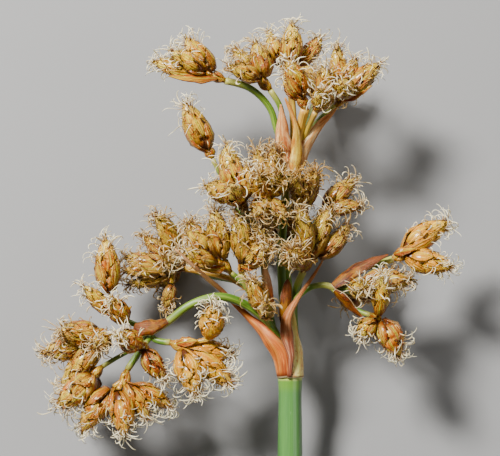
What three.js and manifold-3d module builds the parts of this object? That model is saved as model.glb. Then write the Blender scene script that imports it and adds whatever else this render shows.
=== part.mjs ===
// A cut flowering top of softstem bulrush, lying on its back on a surface.
// Lengths are millimetres. The plant is laid out in its own frame: x to the right, y up the stem
// and z towards the viewer, with the zero point where the stem ends and its rays begin. The whole
// plant then leans by LEAN, so that its cut end and two of its heads rest on the plane z = 0.
import * as THREE from "three";
import { mergeVertices } from "three/addons/utils/BufferGeometryUtils.js";
import Module from "manifold-3d";

const wasm = await Module();
wasm.setup();

// Driving dimensions
const CULM_RADIUS = 2.1;
const CULM_LENGTH = 60;
const LEAN = 8.7 * (Math.PI / 180); // angle between the stem and the surface
const CULM_SIDES = 16;
const FOOT_CUT = 0.35; // depth of the flat that the cut end rests on
const JOINT_GAP = 0.3; // clearance where one piece carries the next
const BLADE_THICKNESS = 0.6;
const HAIR_RADIUS = 0.19; // at the root
const HAIR_LENGTH = 3.3;
const HAIR_SHORTEST = 0.75; // the shortest hair and the range above it, as shares of that length
const HAIR_RANGE = 0.4;
const HAIR_BEND = 0.55; // share of a hair's reach that lies before its bend
const HAIRS_PER_SPIKELET = 3;
const HAIR_ZONE = [0.5, 0.95]; // where hairs spring from, as shares of a spikelet's length
const HAIR_SPREAD = 0.9; // least angle between the hairs of a spikelet, in radians
const SPIKELET_FULLNESS = 1.12; // makes up for what the flat facets take off the width
const SPIKELET_OUTLINE = [0.3, 0.64, 0.9, 1, 1, 0.92, 0.76, 0.5, 0.22]; // radius, from base to tip
const SCALE_TIERS = 3;
const SCALES_PER_TIER = 3;
const SCALE_LIFT = 0.14; // how far a scale's tip stands off the spikelet, as a share of its radius
const SCALE_LAP = 0.1; // how far it reaches over the next tier, as a share of the spikelet's length
const BARE_TIP = 0.7; // height of the point above the last tier, in tiers
const RAY_SIDES = 6; // of the first, main stem of each ray
const TWIG_SIDES = 4; // of its side rays and of the knobs
const RAY_STEP = 4.8; // length of a straight step along a ray's curve
const KNOB_RADIUS = 0.95; // of the swelling that a head's spikelets spring from
const STALK_RADIUS = 0.5; // of a head's neck and of the stalks of its spikelets
const LONG_STALK = 1.7; // a spikelet nearer than this to its knob has no stalk of its own
const WING_HALF = [0.4, 0.15]; // half width of a head's short bract at its root and at its tip
const WING_CURL = 0.5;
const WING_RISE = 0.3; // how far its middle stands proud
const JOIN_TOLERANCE = 0.15; // how far a surface may move when a join is tidied
const SPIKELET_ROOM = 0.46; // what hairs keep clear of, as a share of a spikelet's width
const BRACT_ROOM = 0.8; // and as a share of a bract's half width
const NECK_ROOM = 0.7;
const SAME_PLACE = 1e-6;
const FIRST_SEED = 100;

const COLOURS = {
  culm: { color: 0x6f9f5f, roughness: 0.55 },
  ray: { color: 0x8da24a, roughness: 0.6 },
  bract: { color: 0xa9683f, roughness: 0.75 },
  straw: { color: 0xbfae72, roughness: 0.7 },
  head: { color: 0xb98a4c, roughness: 0.85 },
};

// Rays: each is one branch of the umbel with its own side rays. A path is its centre line from
// the stem outwards, and r gives the radius at its start, its middle and its end.
const RAYS = {
  ray_top: [
    { r: [0.42, 0.7, 0.85], path: [[0, 0.3, 0], [-0.7, 6, -0.6], [-1.3, 14, -1.7], [-1.4, 21, -2.2],
      [-0.8, 29, -1.8], [0.3, 35.6, -1]] },
    { r: [0.5, 0.55, 0.6], path: [[0.3, 34.6, -1], [-1.2, 38.3, -0.7], [-2.3, 41.4, -0.2], [-3.1, 44.2, 0],
      [-4.7, 46.4, 0.4], [-6.8, 48, 1], [-9.2, 48.8, 1.6], [-10.8, 49.1, 2]] },
    { r: [0.45, 0.45, 0.5], path: [[0.2, 34.8, -0.8], [-0.9, 41, 0.4], [-1.7, 45, 0.9], [-3.3, 47.6, 1.5]] },
    { r: [0.5, 0.5, 0.5], path: [[0.3, 35, -1], [0.6, 41, -0.6], [0.3, 46, -0.2], [-0.1, 49.6, 0]] },
    { r: [0.45, 0.5, 0.55], path: [[0.4, 34.8, -0.6], [1.1, 38.6, 0.5], [1.8, 42, 1.9], [2.4, 44.4, 3.6]] },
    { r: [0.4, 0.35, 0.4], path: [[0.6, 35, -0.8], [1.9, 38.6, 0.3], [3.2, 41.8, 1.9], [4.2, 43.9, 3.5]] },
    { r: [0.45, 0.5, 0.6], path: [[0.5, 34.8, -1.2], [2.5, 38.6, -0.9], [4.6, 42.2, -0.6], [7.6, 45, 0.4]] },
    { r: [0.5, 0.5, 0.55], path: [[0.3, 34.8, -1.3], [1.6, 39, -4.6], [3.2, 43, -9], [4.3, 45.6, -11.6]] },
  ],
  ray_left: [
    { r: [0.42, 0.72, 0.65], path: [[-0.57, 0.3, 1], [-1.1, 4, 0.9], [-2.3, 7.2, 1.2], [-4.6, 9.9, 2.1],
      [-8, 12.3, 2.8], [-11.3, 13.3, 3.7], [-14.2, 12.9, 4], [-17, 11.7, 4], [-20.4, 9.1, 3.4],
      [-23.6, 7.2, 2.6]] },
    { r: [0.35, 0.35, 0.4], path: [[-3, 7.8, 1.1], [-3.4, 8.8, 2.1], [-3.9, 9.6, 2.9]] },
    { r: [0.5, 0.5, 0.55], path: [[-22.4, 7.8, 3], [-22.4, 6.4, 3.4], [-21, 6, 4.2], [-19.8, 5.8, 4.8]] },
    { r: [0.5, 0.55, 0.55], path: [[-23.2, 7.3, 2.7], [-25.4, 3.6, 2.6], [-27, 1.2, 2.8]] },
    { r: [0.4, 0.35, 0.4], path: [[-23.4, 7.2, 2.6], [-26.2, 4.6, 1], [-29, 3, 0.6], [-31.3, 1.6, 1.1]] },
    { r: [0.4, 0.45, 0.5], path: [[-22.9, 7.4, 2.8], [-25.6, 8.6, 1.6], [-27.4, 9.3, 1.2]] },
    { r: [0.4, 0.45, 0.5], path: [[-23, 7.3, 2.6], [-26, 6.6, 0.6], [-29.2, 6.8, 0.9]] },
    { r: [0.4, 0.4, 0.45], path: [[-23, 7.3, 2.8], [-23.4, 6.2, 4], [-24, 5.6, 5]] },
  ],
  ray_right: [
    { r: [0.42, 0.45, 0.55], path: [[0.57, 0.3, 1], [0.3, 4, 1.1], [0, 8, 0.9], [0, 11.4, 1],
      [1.3, 13.2, 1.6], [3.3, 14.8, 2.2], [5.4, 15.2, 2.7], [7.6, 14.7, 2.8]] },
    { r: [0.5, 0.5, 0.6], path: [[6.8, 14.8, 2.8], [9.4, 16.4, 1.6], [12.2, 17.9, 1.6], [15, 18.8, 2],
      [17, 19.5, 2.3]] },
    { r: [0.4, 0.4, 0.45], path: [[6.8, 14.8, 2.8], [8.6, 14.7, 3], [9.7, 14.8, 3.2]] },
    { r: [0.4, 0.4, 0.45], path: [[6.8, 14.8, 2.8], [9, 12.6, 2.8], [11.4, 10.9, 3.8], [13.2, 10.3, 4.8]] },
    { r: [0.4, 0.4, 0.45], path: [[6.6, 14.8, 2.8], [8.4, 14.4, 0.6], [10, 14, -1.6]] },
  ],
  ray_centre: [
    { r: [0.42, 0.6, 0.6], path: [[-1.15, 0.3, 0], [-1.7, 4, -0.4], [-2.7, 7.6, -0.2], [-3.7, 12.7, 0.6],
      [-4.3, 18.5, 1.2], [-4.6, 24, 1.8], [-4.4, 27.4, 2.4]] },
    { r: [0.45, 0.5, 0.55], path: [[-4.5, 23, 1.7], [-6, 25.4, 2.6], [-7.2, 27.2, 3.4]] },
    { r: [0.4, 0.35, 0.4], path: [[-4.6, 23.6, 1.7], [-8, 27, -1.2], [-10.8, 32, -1.4],
      [-12.9, 36.2, -0.3]] },
  ],
  ray_centre_left: [
    { r: [0.42, 0.65, 0.6], path: [[-0.57, 0.3, -1], [-2.2, 4, -1.2], [-3.9, 8, -1], [-5.9, 12.6, 0],
      [-7.4, 15.4, 1.6], [-8.1, 17.2, 2.8]] },
    { r: [0.45, 0.5, 0.5], path: [[-7.2, 15, 1.4], [-8.8, 16.4, 1.6], [-9.9, 17.3, 2.2]] },
    { r: [0.45, 0.5, 0.5], path: [[-6.8, 14.4, 0.9], [-10, 16.2, -1.6], [-14, 17.2, -2.8],
      [-17.6, 17.8, -3.2]] },
    { r: [0.45, 0.5, 0.5], path: [[-9.4, 15.9, -1.2], [-13, 16.6, -4.6], [-17.2, 17.8, -8.6]] },
  ],
  ray_centre_right: [
    { r: [0.42, 0.55, 0.6], path: [[1.15, 0.3, 0], [1, 6, -0.8], [0.7, 11, -1], [1, 14.6, 0.6],
      [2.1, 17.4, 2.5]] },
    { r: [0.45, 0.5, 0.5], path: [[0.7, 12, -0.6], [1.9, 17, -0.8], [2.2, 22, -0.2], [2, 26.2, 0.8]] },
    { r: [0.4, 0.45, 0.45], path: [[2.1, 20.6, -0.6], [3.6, 24, -1.4], [4.8, 26.4, -1.8]] },
  ],
  ray_back: [
    { r: [0.42, 0.6, 0.6], path: [[0.57, 0.3, -1], [0.6, 5, -2.2], [0.2, 12, -3.8], [-0.6, 18.4, -5.2],
      [-1, 21.6, -6]] },
  ],
};

// Bracts: the leaves at the joints, each from its seat to its tip. half holds half its width from
// seat to tip, face is the way it looks, and curl is the angle that each half of it bends back by.
const BRACTS = {
  bract_left: { colour: "bract", face: [-0.75, 0, 0.66], curl: 0.6,
    half: [1.25, 1.75, 1.1, 0.5, 0.42, 0.45, 0.4, 0.3, 0.12],
    path: [[-1.6, 0.45, 1.4], [-2.2, 3.6, 1.85], [-3.5, 5.8, 2.1], [-5.2, 7.7, 1.3], [-7, 9.6, 0.7],
      [-8.9, 11.6, 1.1], [-11.4, 14.2, 1.9], [-13.6, 16.1, 4.1], [-16, 18.4, 7.4], [-18.8, 21.2, 9.8]] },
  bract_wrap: { colour: "bract", face: [0, 0, 1], curl: 0.5,
    half: [0.45, 0.8, 1.25, 0.6, 0.35, 0.3, 0.12],
    path: [[0, 0.45, 2.25], [0.1, 3.6, 3.4], [-0.6, 7, 3.3], [-0.6, 9.6, 3.1], [1, 12.7, 3.1],
      [3.3, 16, 3.5], [5.4, 19.2, 1.8]] },
  bract_main: { colour: "straw", face: [0.87, 0, 0.5], curl: 0.7,
    half: [1.35, 1.2, 0.8, 0.5, 0.12],
    path: [[1.8, 0.45, 1.1], [1.85, 3.4, 1.15], [1.65, 6.4, 0.9], [1.3, 9.4, 0.6], [0.95, 11.8, 0.3]] },
  bract_centre: { colour: "bract", face: [0, 0, 1], curl: 0.5,
    half: [0.7, 0.95, 0.95, 0.95, 0.85, 0.55],
    path: [[-0.8, 8.4, 2.1], [-0.9, 10.2, 2.3], [-0.8, 12, 2.4], [-0.6, 13.8, 2.3],
      [-0.45, 15.2, 2.2], [-0.4, 16.2, 1.9]] },
  bract_inner: { colour: "bract", face: [0.2, 0, 1], curl: 0.5,
    half: [0.4, 0.85, 0.85, 0.3],
    path: [[-2.9, 10, 1.7], [-3.3, 12.4, 1.9], [-3.8, 15.4, 2.2], [-4.3, 18.6, 2.6]] },
  bract_top_left: { colour: "bract", face: [-0.35, 0, 0.9], curl: 0.6,
    half: [0.9, 1.3, 1.2, 0.8, 0.12],
    path: [[-0.6, 34.2, 0.5], [-1.2, 37.2, 0.8], [-1.5, 40.2, 1.5], [-1.5, 42.8, 1.9], [-1.6, 45.2, 2.3]] },
  bract_top_front: { colour: "straw", face: [0.1, 0, 1], curl: 0.6,
    half: [0.4, 0.95, 0.9, 0.6, 0.12],
    path: [[0.8, 35.6, 1.5], [1.2, 38, 2.3], [1, 41, 3.1], [0.2, 43.8, 3.6], [-0.9, 46.2, 3.9]] },
  bract_top_right: { colour: "straw", face: [0.35, -0.3, 0.9], curl: 0.5,
    half: [0.6, 0.9, 0.9, 0.6, 0.12],
    path: [[2.2, 35.2, 0.2], [3.5, 38.4, 0.7], [5.1, 41, 1], [6.6, 43.3, 1.3], [7.8, 44.7, 1.9]] },
  bract_joint_left: { colour: "bract", face: [0.1, 0.3, 0.95], curl: 0.6,
    half: [0.5, 0.9, 1, 0.8, 0.2],
    path: [[-20.6, 9.5, 4.7], [-22, 9, 4.6], [-23.6, 8.8, 4.4], [-25, 8.8, 4.2], [-26, 9.1, 4]] },
  bract_joint_right: { colour: "bract", face: [-0.25, 0.5, 0.85], curl: 0.5,
    half: [0.4, 1.1, 1, 0.7, 0.12],
    path: [[7.7, 15.4, 3.9], [9.2, 16.7, 3.5], [10.9, 17.9, 3.3], [12.9, 18.9, 3.4], [15, 19.8, 3.6]] },
  bract_joint_low: { colour: "bract", face: [-0.5, -0.6, 0.6], curl: 0.5,
    half: [0.35, 0.85, 0.75, 0.5, 0.12],
    path: [[7.9, 13.2, 3.5], [8.8, 12, 3.6], [9.8, 11, 3.7], [10.8, 10.1, 3.9], [11.6, 9.4, 4]] },
};

// Heads: each is a bunch of spikelets on the end of a ray. neck is where it meets the ray, hub is
// where its spikelets spring from, and each spikelet runs from its base to its tip. wings are the
// short bracts under the head: seat, tip and half width.
const HEADS = {
  head_top_left: { neck: [-10.8, 49.1, 2], hub: [-12.3, 49.9, 2.2], spikelets: [
    [[-13, 50.8, 2.4], [-17.2, 56, 3], 4], [[-14, 50.4, 3.2], [-19.8, 53.8, 3.8], 3.1],
    [[-14.2, 50, 1.6], [-22.7, 52.3, 1.4], 3.2]],
    wings: [[[-12, 49.2, 3.2], [-20.2, 49.8, 3.2], 0.9]] },
  head_top_inner: { neck: [-3.3, 47.6, 1.5], hub: [-4.1, 48.8, 1.9], spikelets: [
    [[-4.2, 49.3, 2.2], [-5.8, 55.5, 2.6], 3.7], [[-5, 49.6, 0.6], [-9.5, 54.6, 0], 2.8],
    [[-4.8, 49.2, 3.4], [-10.3, 51.3, 4.6], 2.9]],
    wings: [] },
  head_top_crown: { neck: [-0.1, 49.6, 0], hub: [-0.2, 50.9, -0.3], spikelets: [
    [[-0.2, 52, 0], [0.2, 58.8, 0], 3.4], [[0.9, 51.8, -1.8], [5.3, 56.7, -3], 2.8],
    [[-1.6, 51.8, -1.8], [-3.6, 57.6, -3.4], 2.8]],
    wings: [] },
  head_top_front: { neck: [2.4, 44.4, 3.6], hub: [2.2, 45.7, 4.4], spikelets: [
    [[2.2, 46.2, 4.9], [-0.5, 52.3, 6.4], 3.3], [[1.4, 45.8, 3.8], [-0.9, 50.4, 3.1], 2.5]],
    wings: [] },
  head_top_low: { neck: [4.2, 43.9, 3.5], hub: [5.2, 45.1, 4.2], spikelets: [
    [[5.3, 45.6, 4.8], [4.9, 46.8, 9.6], 3.1], [[5.6, 46, 4.6], [5.4, 51.4, 5], 2.9]],
    wings: [] },
  head_top_right: { neck: [7.6, 45, 0.4], hub: [8.9, 46.2, 0.9], spikelets: [
    [[8.6, 47.2, 1], [7.8, 55.2, 0.8], 2.8], [[9.6, 47.2, 2.2], [8.6, 47.9, 7.2], 3.1],
    [[9.8, 47.2, 0.9], [10.8, 52.8, 1.6], 2.9], [[10, 46.6, 1.2], [15, 52, 2], 3.3]],
    wings: [[[8.6, 45.6, 1.4], [13.6, 48.3, 2.6], 0.8]] },
  head_top_back: { neck: [4.3, 45.6, -11.6], hub: [4.9, 46.8, -12.8], spikelets: [
    [[5.6, 47.4, -13.4], [9.3, 52, -18.1], 3.5], [[4.6, 47.6, -13.6], [2.8, 53.2, -17.6], 3.5],
    [[5.7, 46.7, -12.6], [11, 48.2, -12.6], 3.3]],
    wings: [] },
  spikelet_lone: { neck: [-12.9, 36.2, -0.3], hub: [-13.3, 37, -0.1], spikelets: [
    [[-13.5, 37.4, 0], [-17.5, 45.3, 0.8], 4]], wings: [] },
  head_centre_left: { neck: [-7.2, 27.2, 3.4], hub: [-8, 28.7, 4.4], spikelets: [
    [[-8.8, 30, 4.4], [-10.5, 38.5, 3.4], 3.9], [[-9.3, 29.8, 5.6], [-13.9, 31.6, 7], 3.4],
    [[-8.6, 29.6, 6.2], [-9.6, 31.2, 11.4], 3.5], [[-7.5, 29.4, 5.2], [-7.1, 35.2, 5.6], 2.6]],
    wings: [] },
  head_centre_front: { neck: [-4.4, 27.4, 2.4], hub: [-3.7, 28.9, 3.6], spikelets: [
    [[-4, 30.4, 2.4], [-5.4, 37.6, 0.8], 3], [[-3, 30.4, 2.2], [-2.6, 38, 2], 2.8],
    [[-4, 30.2, 4.6], [-4.8, 33.4, 9.6], 3.4], [[-4, 28.6, 5], [-5.2, 26.8, 10], 3.5],
    [[-2.8, 28.4, 4.8], [-1.1, 26.4, 9.4], 2.9], [[-2.8, 30.3, 4.4], [-1.6, 33.4, 9.2], 3.1]],
    wings: [] },
  head_upper_right: { neck: [2, 26.2, 0.8], hub: [2.2, 27.6, 1.6], spikelets: [
    [[2.7, 28.6, 1.6], [4.3, 34.4, 0.8], 3.2], [[1.9, 28.6, 2.6], [1.3, 33.4, 5.2], 3]],
    wings: [] },
  head_far_right: { neck: [4.8, 26.4, -1.8], hub: [5.4, 27.3, -2.2], spikelets: [
    [[6, 27.9, -2.2], [10.8, 32.8, -2.4], 3.1], [[6.1, 27.3, -1.8], [12, 28.4, -1.4], 2.5]],
    wings: [] },
  head_lower_right: { neck: [2.1, 17.4, 2.5], hub: [2.8, 18.9, 3.6], spikelets: [
    [[2.2, 19.8, 4], [1.5, 27.8, 7.4], 3.1], [[4, 19.9, 3.6], [6.8, 28, 3.4], 3.2],
    [[4.4, 19.4, 2.8], [9.8, 25.2, 1], 2.9], [[2.2, 19.4, 4.8], [0.3, 20.8, 9.6], 3.2]],
    wings: [[[2.6, 18, 4.4], [-1.4, 18.6, 5.2], 0.6]] },
  head_lower_left: { neck: [-8.1, 17.2, 2.8], hub: [-8, 18.6, 4], spikelets: [
    [[-7.8, 19.4, 4.6], [-8.2, 27, 6.6], 3], [[-7.2, 19.4, 5.2], [-3.6, 21.5, 8], 3.2],
    [[-7.4, 19.6, 4], [-4.5, 25.2, 4.6], 2.7]],
    wings: [[[-8, 18, 5], [-4.2, 18.8, 6], 0.7]] },
  head_mid_left: { neck: [-9.9, 17.3, 2.2], hub: [-11, 18.7, 3.2], spikelets: [
    [[-11.3, 19.6, 3.4], [-13, 27.7, 3.4], 3.2], [[-12.2, 19.6, 4], [-17, 25.7, 4.6], 3.6],
    [[-12.2, 19, 5.2], [-18.4, 21, 7.2], 2.9]],
    wings: [[[-10.6, 17.9, 4.4], [-13, 18, 4.6], 0.6]] },
  head_side: { neck: [-17.6, 17.8, -3.2], hub: [-19.3, 18, -3.4], spikelets: [
    [[-20.6, 18.8, -3.6], [-27.8, 19.8, -4], 3.2], [[-20.7, 17.3, -2.4], [-28, 17.4, -1.8], 2.5],
    [[-20.2, 16.6, -3.4], [-27.3, 15.1, -3.6], 2.3], [[-20, 19.4, -4.4], [-24.8, 23.2, -5.4], 2.5],
    [[-19.6, 18.4, -2.2], [-20.6, 19.6, 2.2], 2.8], [[-18.8, 20.2, -2.6], [-22.3, 27, -0.6], 3.2],
    [[-19.6, 16.6, -3.2], [-20.8, 11.3, -3.4], 2.6]],
    wings: [] },
  head_side_back: { neck: [-17.2, 17.8, -8.6], hub: [-18.6, 18.4, -9.6], spikelets: [
    [[-19.2, 18.6, -10.2], [-24, 19.6, -13.1], 3.5], [[-18.6, 18.9, -10.3], [-17, 24, -13.8], 3.5],
    [[-19, 17.4, -10], [-22.6, 14.8, -11.6], 3]],
    wings: [] },
  head_stem: { neck: [-3.9, 9.6, 2.9], hub: [-4.4, 10.4, 3.8], spikelets: [
    [[-4.8, 11, 4.2], [-6.5, 16.3, 5.2], 3.2], [[-4.1, 10.7, 4.5], [-3.8, 12.3, 8.4], 2.6]],
    wings: [] },
  head_left_top: { neck: [-27.4, 9.3, 1.2], hub: [-28.6, 10.1, 1], spikelets: [
    [[-30, 13.6, -0.2], [-30.8, 23, -0.6], 4.1], [[-30, 10.6, 1.2], [-34.3, 15, 1.8], 2.8],
    [[-28.6, 10.4, 2], [-29.4, 13.2, 6.2], 3.2]],
    wings: [[[-28, 9.8, 2.2], [-26.2, 11.8, 5], 0.6]] },
  head_left_joint: { neck: [-24, 5.6, 5], hub: [-24.3, 5.2, 5.9], spikelets: [
    [[-24, 4.5, 6.2], [-20.6, -0.3, 6.6], 3.1], [[-25, 5.5, 6.6], [-26.2, 6.4, 10.8], 3.4]],
    wings: [] },
  head_left_far: { neck: [-29.2, 6.8, 0.9], hub: [-30.8, 6.8, 1.2], spikelets: [
    [[-31.8, 7, 1.6], [-38.3, 7.6, 3.6], 3.8], [[-32.2, 6.4, 0.4], [-41.2, 3.9, -0.6], 3.9],
    [[-32, 5.8, 1.2], [-38, -2.2, 0.2], 3.4], [[-31.2, 6.2, 2.2], [-31.6, 5.2, 7.4], 3.2]],
    wings: [] },
  head_left_low: { neck: [-31.3, 1.6, 1.1], hub: [-32.3, 0.6, 1.8], spikelets: [
    [[-32.7, -0.3, 2.8], [-38.2, -4.9, 5.4], 3.9], [[-32.5, -0.5, 0.8], [-35.3, -4.7, -2.6], 3.1]],
    wings: [] },
  head_left_bottom: { neck: [-27, 1.2, 2.8], hub: [-27.7, -0.5, 3.2], spikelets: [
    [[-29.2, -1.6, 3.2], [-34.4, -8.8, 3.6], 4], [[-28.4, -2, 4.4], [-27.5, -9.4, 6.2], 3.8],
    [[-26.8, -1.8, 3.6], [-23.5, -7, 4.2], 3], [[-26.2, -1.4, 2.8], [-19.7, -5, 2.2], 3]],
    wings: [] },
  head_left_near: { neck: [-19.8, 5.8, 4.8], hub: [-18.2, 5.2, 5.4], spikelets: [
    [[-17.8, 4.4, 6.2], [-15.5, -2.7, 8], 4], [[-17, 4.6, 5.2], [-9.6, -1.3, 5.4], 4],
    [[-16.4, 5.2, 4.4], [-9.6, 3.9, 3], 3.4], [[-13.4, 6.4, 6], [-12.8, 12.2, 7.2], 3.9]],
    wings: [[[-19, 5.8, 6], [-15.2, 6.2, 6.8], 1]] },
  head_right_tip: { neck: [17, 19.5, 2.3], hub: [18.3, 20.3, 2.4], spikelets: [
    [[18.9, 21.6, 2.2], [26.2, 25.7, 1.8], 3.8], [[19.2, 19.9, 3], [26.8, 18.2, 3.6], 3.7]],
    wings: [[[16.6, 20.4, 3.4], [20.8, 21.3, 4.2], 0.8]] },
  head_right_near: { neck: [9.7, 14.8, 3.2], hub: [11, 14.9, 3.6], spikelets: [
    [[12, 15.2, 3.4], [20, 16, 3], 3.9], [[11.4, 14.9, 4.4], [12.2, 14.9, 8.8], 3.4]],
    wings: [] },
  head_right_low: { neck: [13.2, 10.3, 4.8], hub: [14.4, 9.9, 5.6], spikelets: [
    [[14.9, 9.6, 5.6], [18, 4.3, 5.8], 4.1], [[14, 9.4, 5.8], [11.1, 7, 7], 3],
    [[14.4, 10.4, 6.4], [14.9, 17.2, 8.6], 2.8]],
    wings: [] },
  head_right_back: { neck: [10, 14, -1.6], hub: [11.1, 13.8, -2.8], spikelets: [
    [[11.4, 13.8, -3.4], [15.2, 13.6, -7.6], 3.4], [[11, 13.6, -3.6], [9.6, 12, -8.2], 3.2]],
    wings: [] },
  head_back: { neck: [-1, 21.6, -6], hub: [-1.2, 23, -7], spikelets: [
    [[-1.8, 24, -7.2], [-5.4, 30, -9.8], 3.5], [[-0.6, 24, -7.4], [2.9, 29.6, -9.6], 3.5],
    [[-2, 22.8, -7.6], [-6, 21, -10.8], 3.4], [[-0.4, 22.8, -7.8], [2.2, 22, -11.4], 3.4]],
    wings: [] },
};

const vector = (p) => new THREE.Vector3(...p);

// Random numbers that come out the same each time, from a seed.
function seeded(seed) {
  let state = seed;
  return () => {
    state = (state * 1664525 + 1013904223) % 4294967296;
    return state / 4294967296;
  };
}

// A closed three.js geometry as a solid that can be joined and cut.
function solid(geometry) {
  const bare = new THREE.BufferGeometry();
  bare.setAttribute("position", geometry.getAttribute("position"));
  bare.setIndex(geometry.index);
  const merged = mergeVertices(bare, 1e-4);
  return new wasm.Manifold(
    new wasm.Mesh({
      numProp: 3,
      vertProperties: new Float32Array(merged.attributes.position.array),
      triVerts: new Uint32Array(merged.index.array),
    }),
  );
}

// A solid as a three.js geometry with flat faces.
function geometryOf(joined) {
  const mesh = joined.getMesh();
  const positions = new Float32Array(mesh.numVert * 3);
  for (let i = 0; i < mesh.numVert; i++) {
    const start = i * mesh.numProp;
    positions.set(mesh.vertProperties.subarray(start, start + 3), i * 3);
  }
  const indexed = new THREE.BufferGeometry();
  indexed.setAttribute("position", new THREE.BufferAttribute(positions, 3));
  indexed.setIndex(new THREE.BufferAttribute(new Uint32Array(mesh.triVerts), 1));
  const flat = indexed.toNonIndexed();
  flat.computeVertexNormals();
  return flat;
}

// Moves each vertex of a geometry to where place says.
function reshape(geometry, place) {
  const position = geometry.getAttribute("position");
  for (let i = 0; i < position.count; i++) {
    const p = place(position.getX(i), position.getY(i), position.getZ(i));
    position.setXYZ(i, p.x, p.y, p.z);
  }
  return geometry;
}

// The value at t, from 0 to 1, along a list of evenly spaced values.
function along(values, t) {
  const at = Math.min(Math.max(t, 0), 1) * (values.length - 1);
  const low = Math.min(Math.floor(at), values.length - 2);
  return THREE.MathUtils.lerp(values[low], values[low + 1], at - low);
}

// A round bar along a curve: a cylinder's rings carried along it, with a radius that changes.
function bar(path, radii, sides, steps, pointed = false) {
  const curve = new THREE.CatmullRomCurve3(path.map(vector), false, "centripetal");
  const frames = curve.computeFrenetFrames(steps, false);
  const plain = new THREE.CylinderGeometry(pointed ? 0 : 1, 1, 1, sides, steps);
  return reshape(plain, (x, y, z) => {
    const t = Math.min(Math.max(y + 0.5, 0), 1);
    const step = Math.round(t * steps);
    const across = Math.hypot(x, z);
    const radius = across > SAME_PLACE ? along(radii, t) / across : 0;
    return curve
      .getPointAt(t)
      .addScaledVector(frames.binormals[step], x * radius)
      .addScaledVector(frames.normals[step], z * radius);
  });
}

// A thin leaf along a curve: a flat box's grid laid on it, as wide as half says, with each half
// bent away from the side that it faces through the angle curl.
function blade({ path, half, face, curl }, steps) {
  const curve = new THREE.CatmullRomCurve3(path.map(vector), false, "centripetal");
  const plain = new THREE.BoxGeometry(2, 1, 1, 2, steps, 1);
  return reshape(plain, (x, y, z) => {
    const t = Math.min(Math.max(y + 0.5, 0), 1);
    const forward = curve.getTangentAt(t);
    const side = forward.clone().cross(vector(face)).normalize();
    const outward = side.clone().cross(forward);
    const bend = along(half, t) / curl;
    const radius = bend + z * BLADE_THICKNESS;
    return curve
      .getPointAt(t)
      .addScaledVector(side, Math.sin(x * curl) * radius)
      .addScaledVector(outward, Math.cos(x * curl) * radius - bend);
  });
}

// Two directions square to a third, so that across, up and forward make a right-handed set.
function squareTo(forward) {
  const hint = Math.abs(forward.y) < 0.9 ? new THREE.Vector3(0, 1, 0) : new THREE.Vector3(1, 0, 0);
  const across = hint.cross(forward).normalize();
  return [across, across.clone().cross(forward)];
}

// A spikelet's body: an egg shape in tiers of overlapping scales. Each ring of a cylinder zigzags
// between scale tips, which stand off and reach over the next tier, and the notches beside them.
function spikeletBody([base, tip, width]) {
  const sides = SCALES_PER_TIER * 2;
  const rings = SCALE_TIERS + 1;
  const start = vector(base);
  const forward = vector(tip).sub(start);
  const length = forward.length();
  forward.normalize();
  const [across, up] = squareTo(forward);
  const plain = new THREE.CylinderGeometry(0, 1, 1, sides, rings);
  return reshape(plain, (x, y, z) => {
    const ring = Math.round((y + 0.5) * rings);
    const angle = Math.atan2(x, z);
    const corner = Math.round((angle / (2 * Math.PI)) * sides + sides);
    const raised = (corner + ring) % 2 === 0;
    const tier = ring / (SCALE_TIERS + BARE_TIP);
    let t = tier + (raised ? SCALE_LAP : -SCALE_LAP);
    if (ring === 0) t = 0;
    if (ring === rings) t = 1;
    const lift = ring > 0 && raised ? 1 + SCALE_LIFT : 1 - SCALE_LIFT / 2;
    const onAxis = ring === rings || Math.hypot(x, z) < SAME_PLACE;
    const full = (width / 2) * SPIKELET_FULLNESS * along(SPIKELET_OUTLINE, t);
    const radius = onAxis ? 0 : full * lift;
    return start
      .clone()
      .addScaledVector(forward, t * length)
      .addScaledVector(across, Math.sin(angle) * radius)
      .addScaledVector(up, Math.cos(angle) * radius);
  });
}

// The least distance between two straight stretches, each given by its two ends.
function apart([a, b], [c, d]) {
  const u = b.clone().sub(a);
  const v = d.clone().sub(c);
  const w = a.clone().sub(c);
  const uu = u.dot(u);
  const uv = u.dot(v);
  const vv = v.dot(v);
  const uw = u.dot(w);
  const vw = v.dot(w);
  const area = uu * vv - uv * uv;
  let s = area > SAME_PLACE ? THREE.MathUtils.clamp((uv * vw - vv * uw) / area, 0, 1) : 0;
  const t = THREE.MathUtils.clamp((uv * s + vw) / vv, 0, 1);
  s = THREE.MathUtils.clamp((uv * t - uw) / uu, 0, 1);
  return w.addScaledVector(u, s).addScaledVector(v, -t).length();
}

// Everything that a hair has to keep clear of, as straight stretches with a radius and an owner.
const obstacles = [];
function addObstacle(owner, path, radius) {
  for (let i = 1; i < path.length; i++)
    obstacles.push({ owner, ends: [vector(path[i - 1]), vector(path[i])], radius });
}
for (const [name, stems] of Object.entries(RAYS))
  for (const stem of stems) addObstacle(name, stem.path, Math.max(...stem.r));
for (const [name, leaf] of Object.entries(BRACTS))
  addObstacle(name, leaf.path, Math.max(...leaf.half) * BRACT_ROOM);
for (const [name, head] of Object.entries(HEADS)) {
  addObstacle(name, [head.neck, head.hub], NECK_ROOM);
  for (const [base, tip, width] of head.spikelets) addObstacle(name, [base, tip], width * SPIKELET_ROOM);
  for (const [seat, tip, half] of head.wings) addObstacle(name, [seat, tip], half);
}

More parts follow.
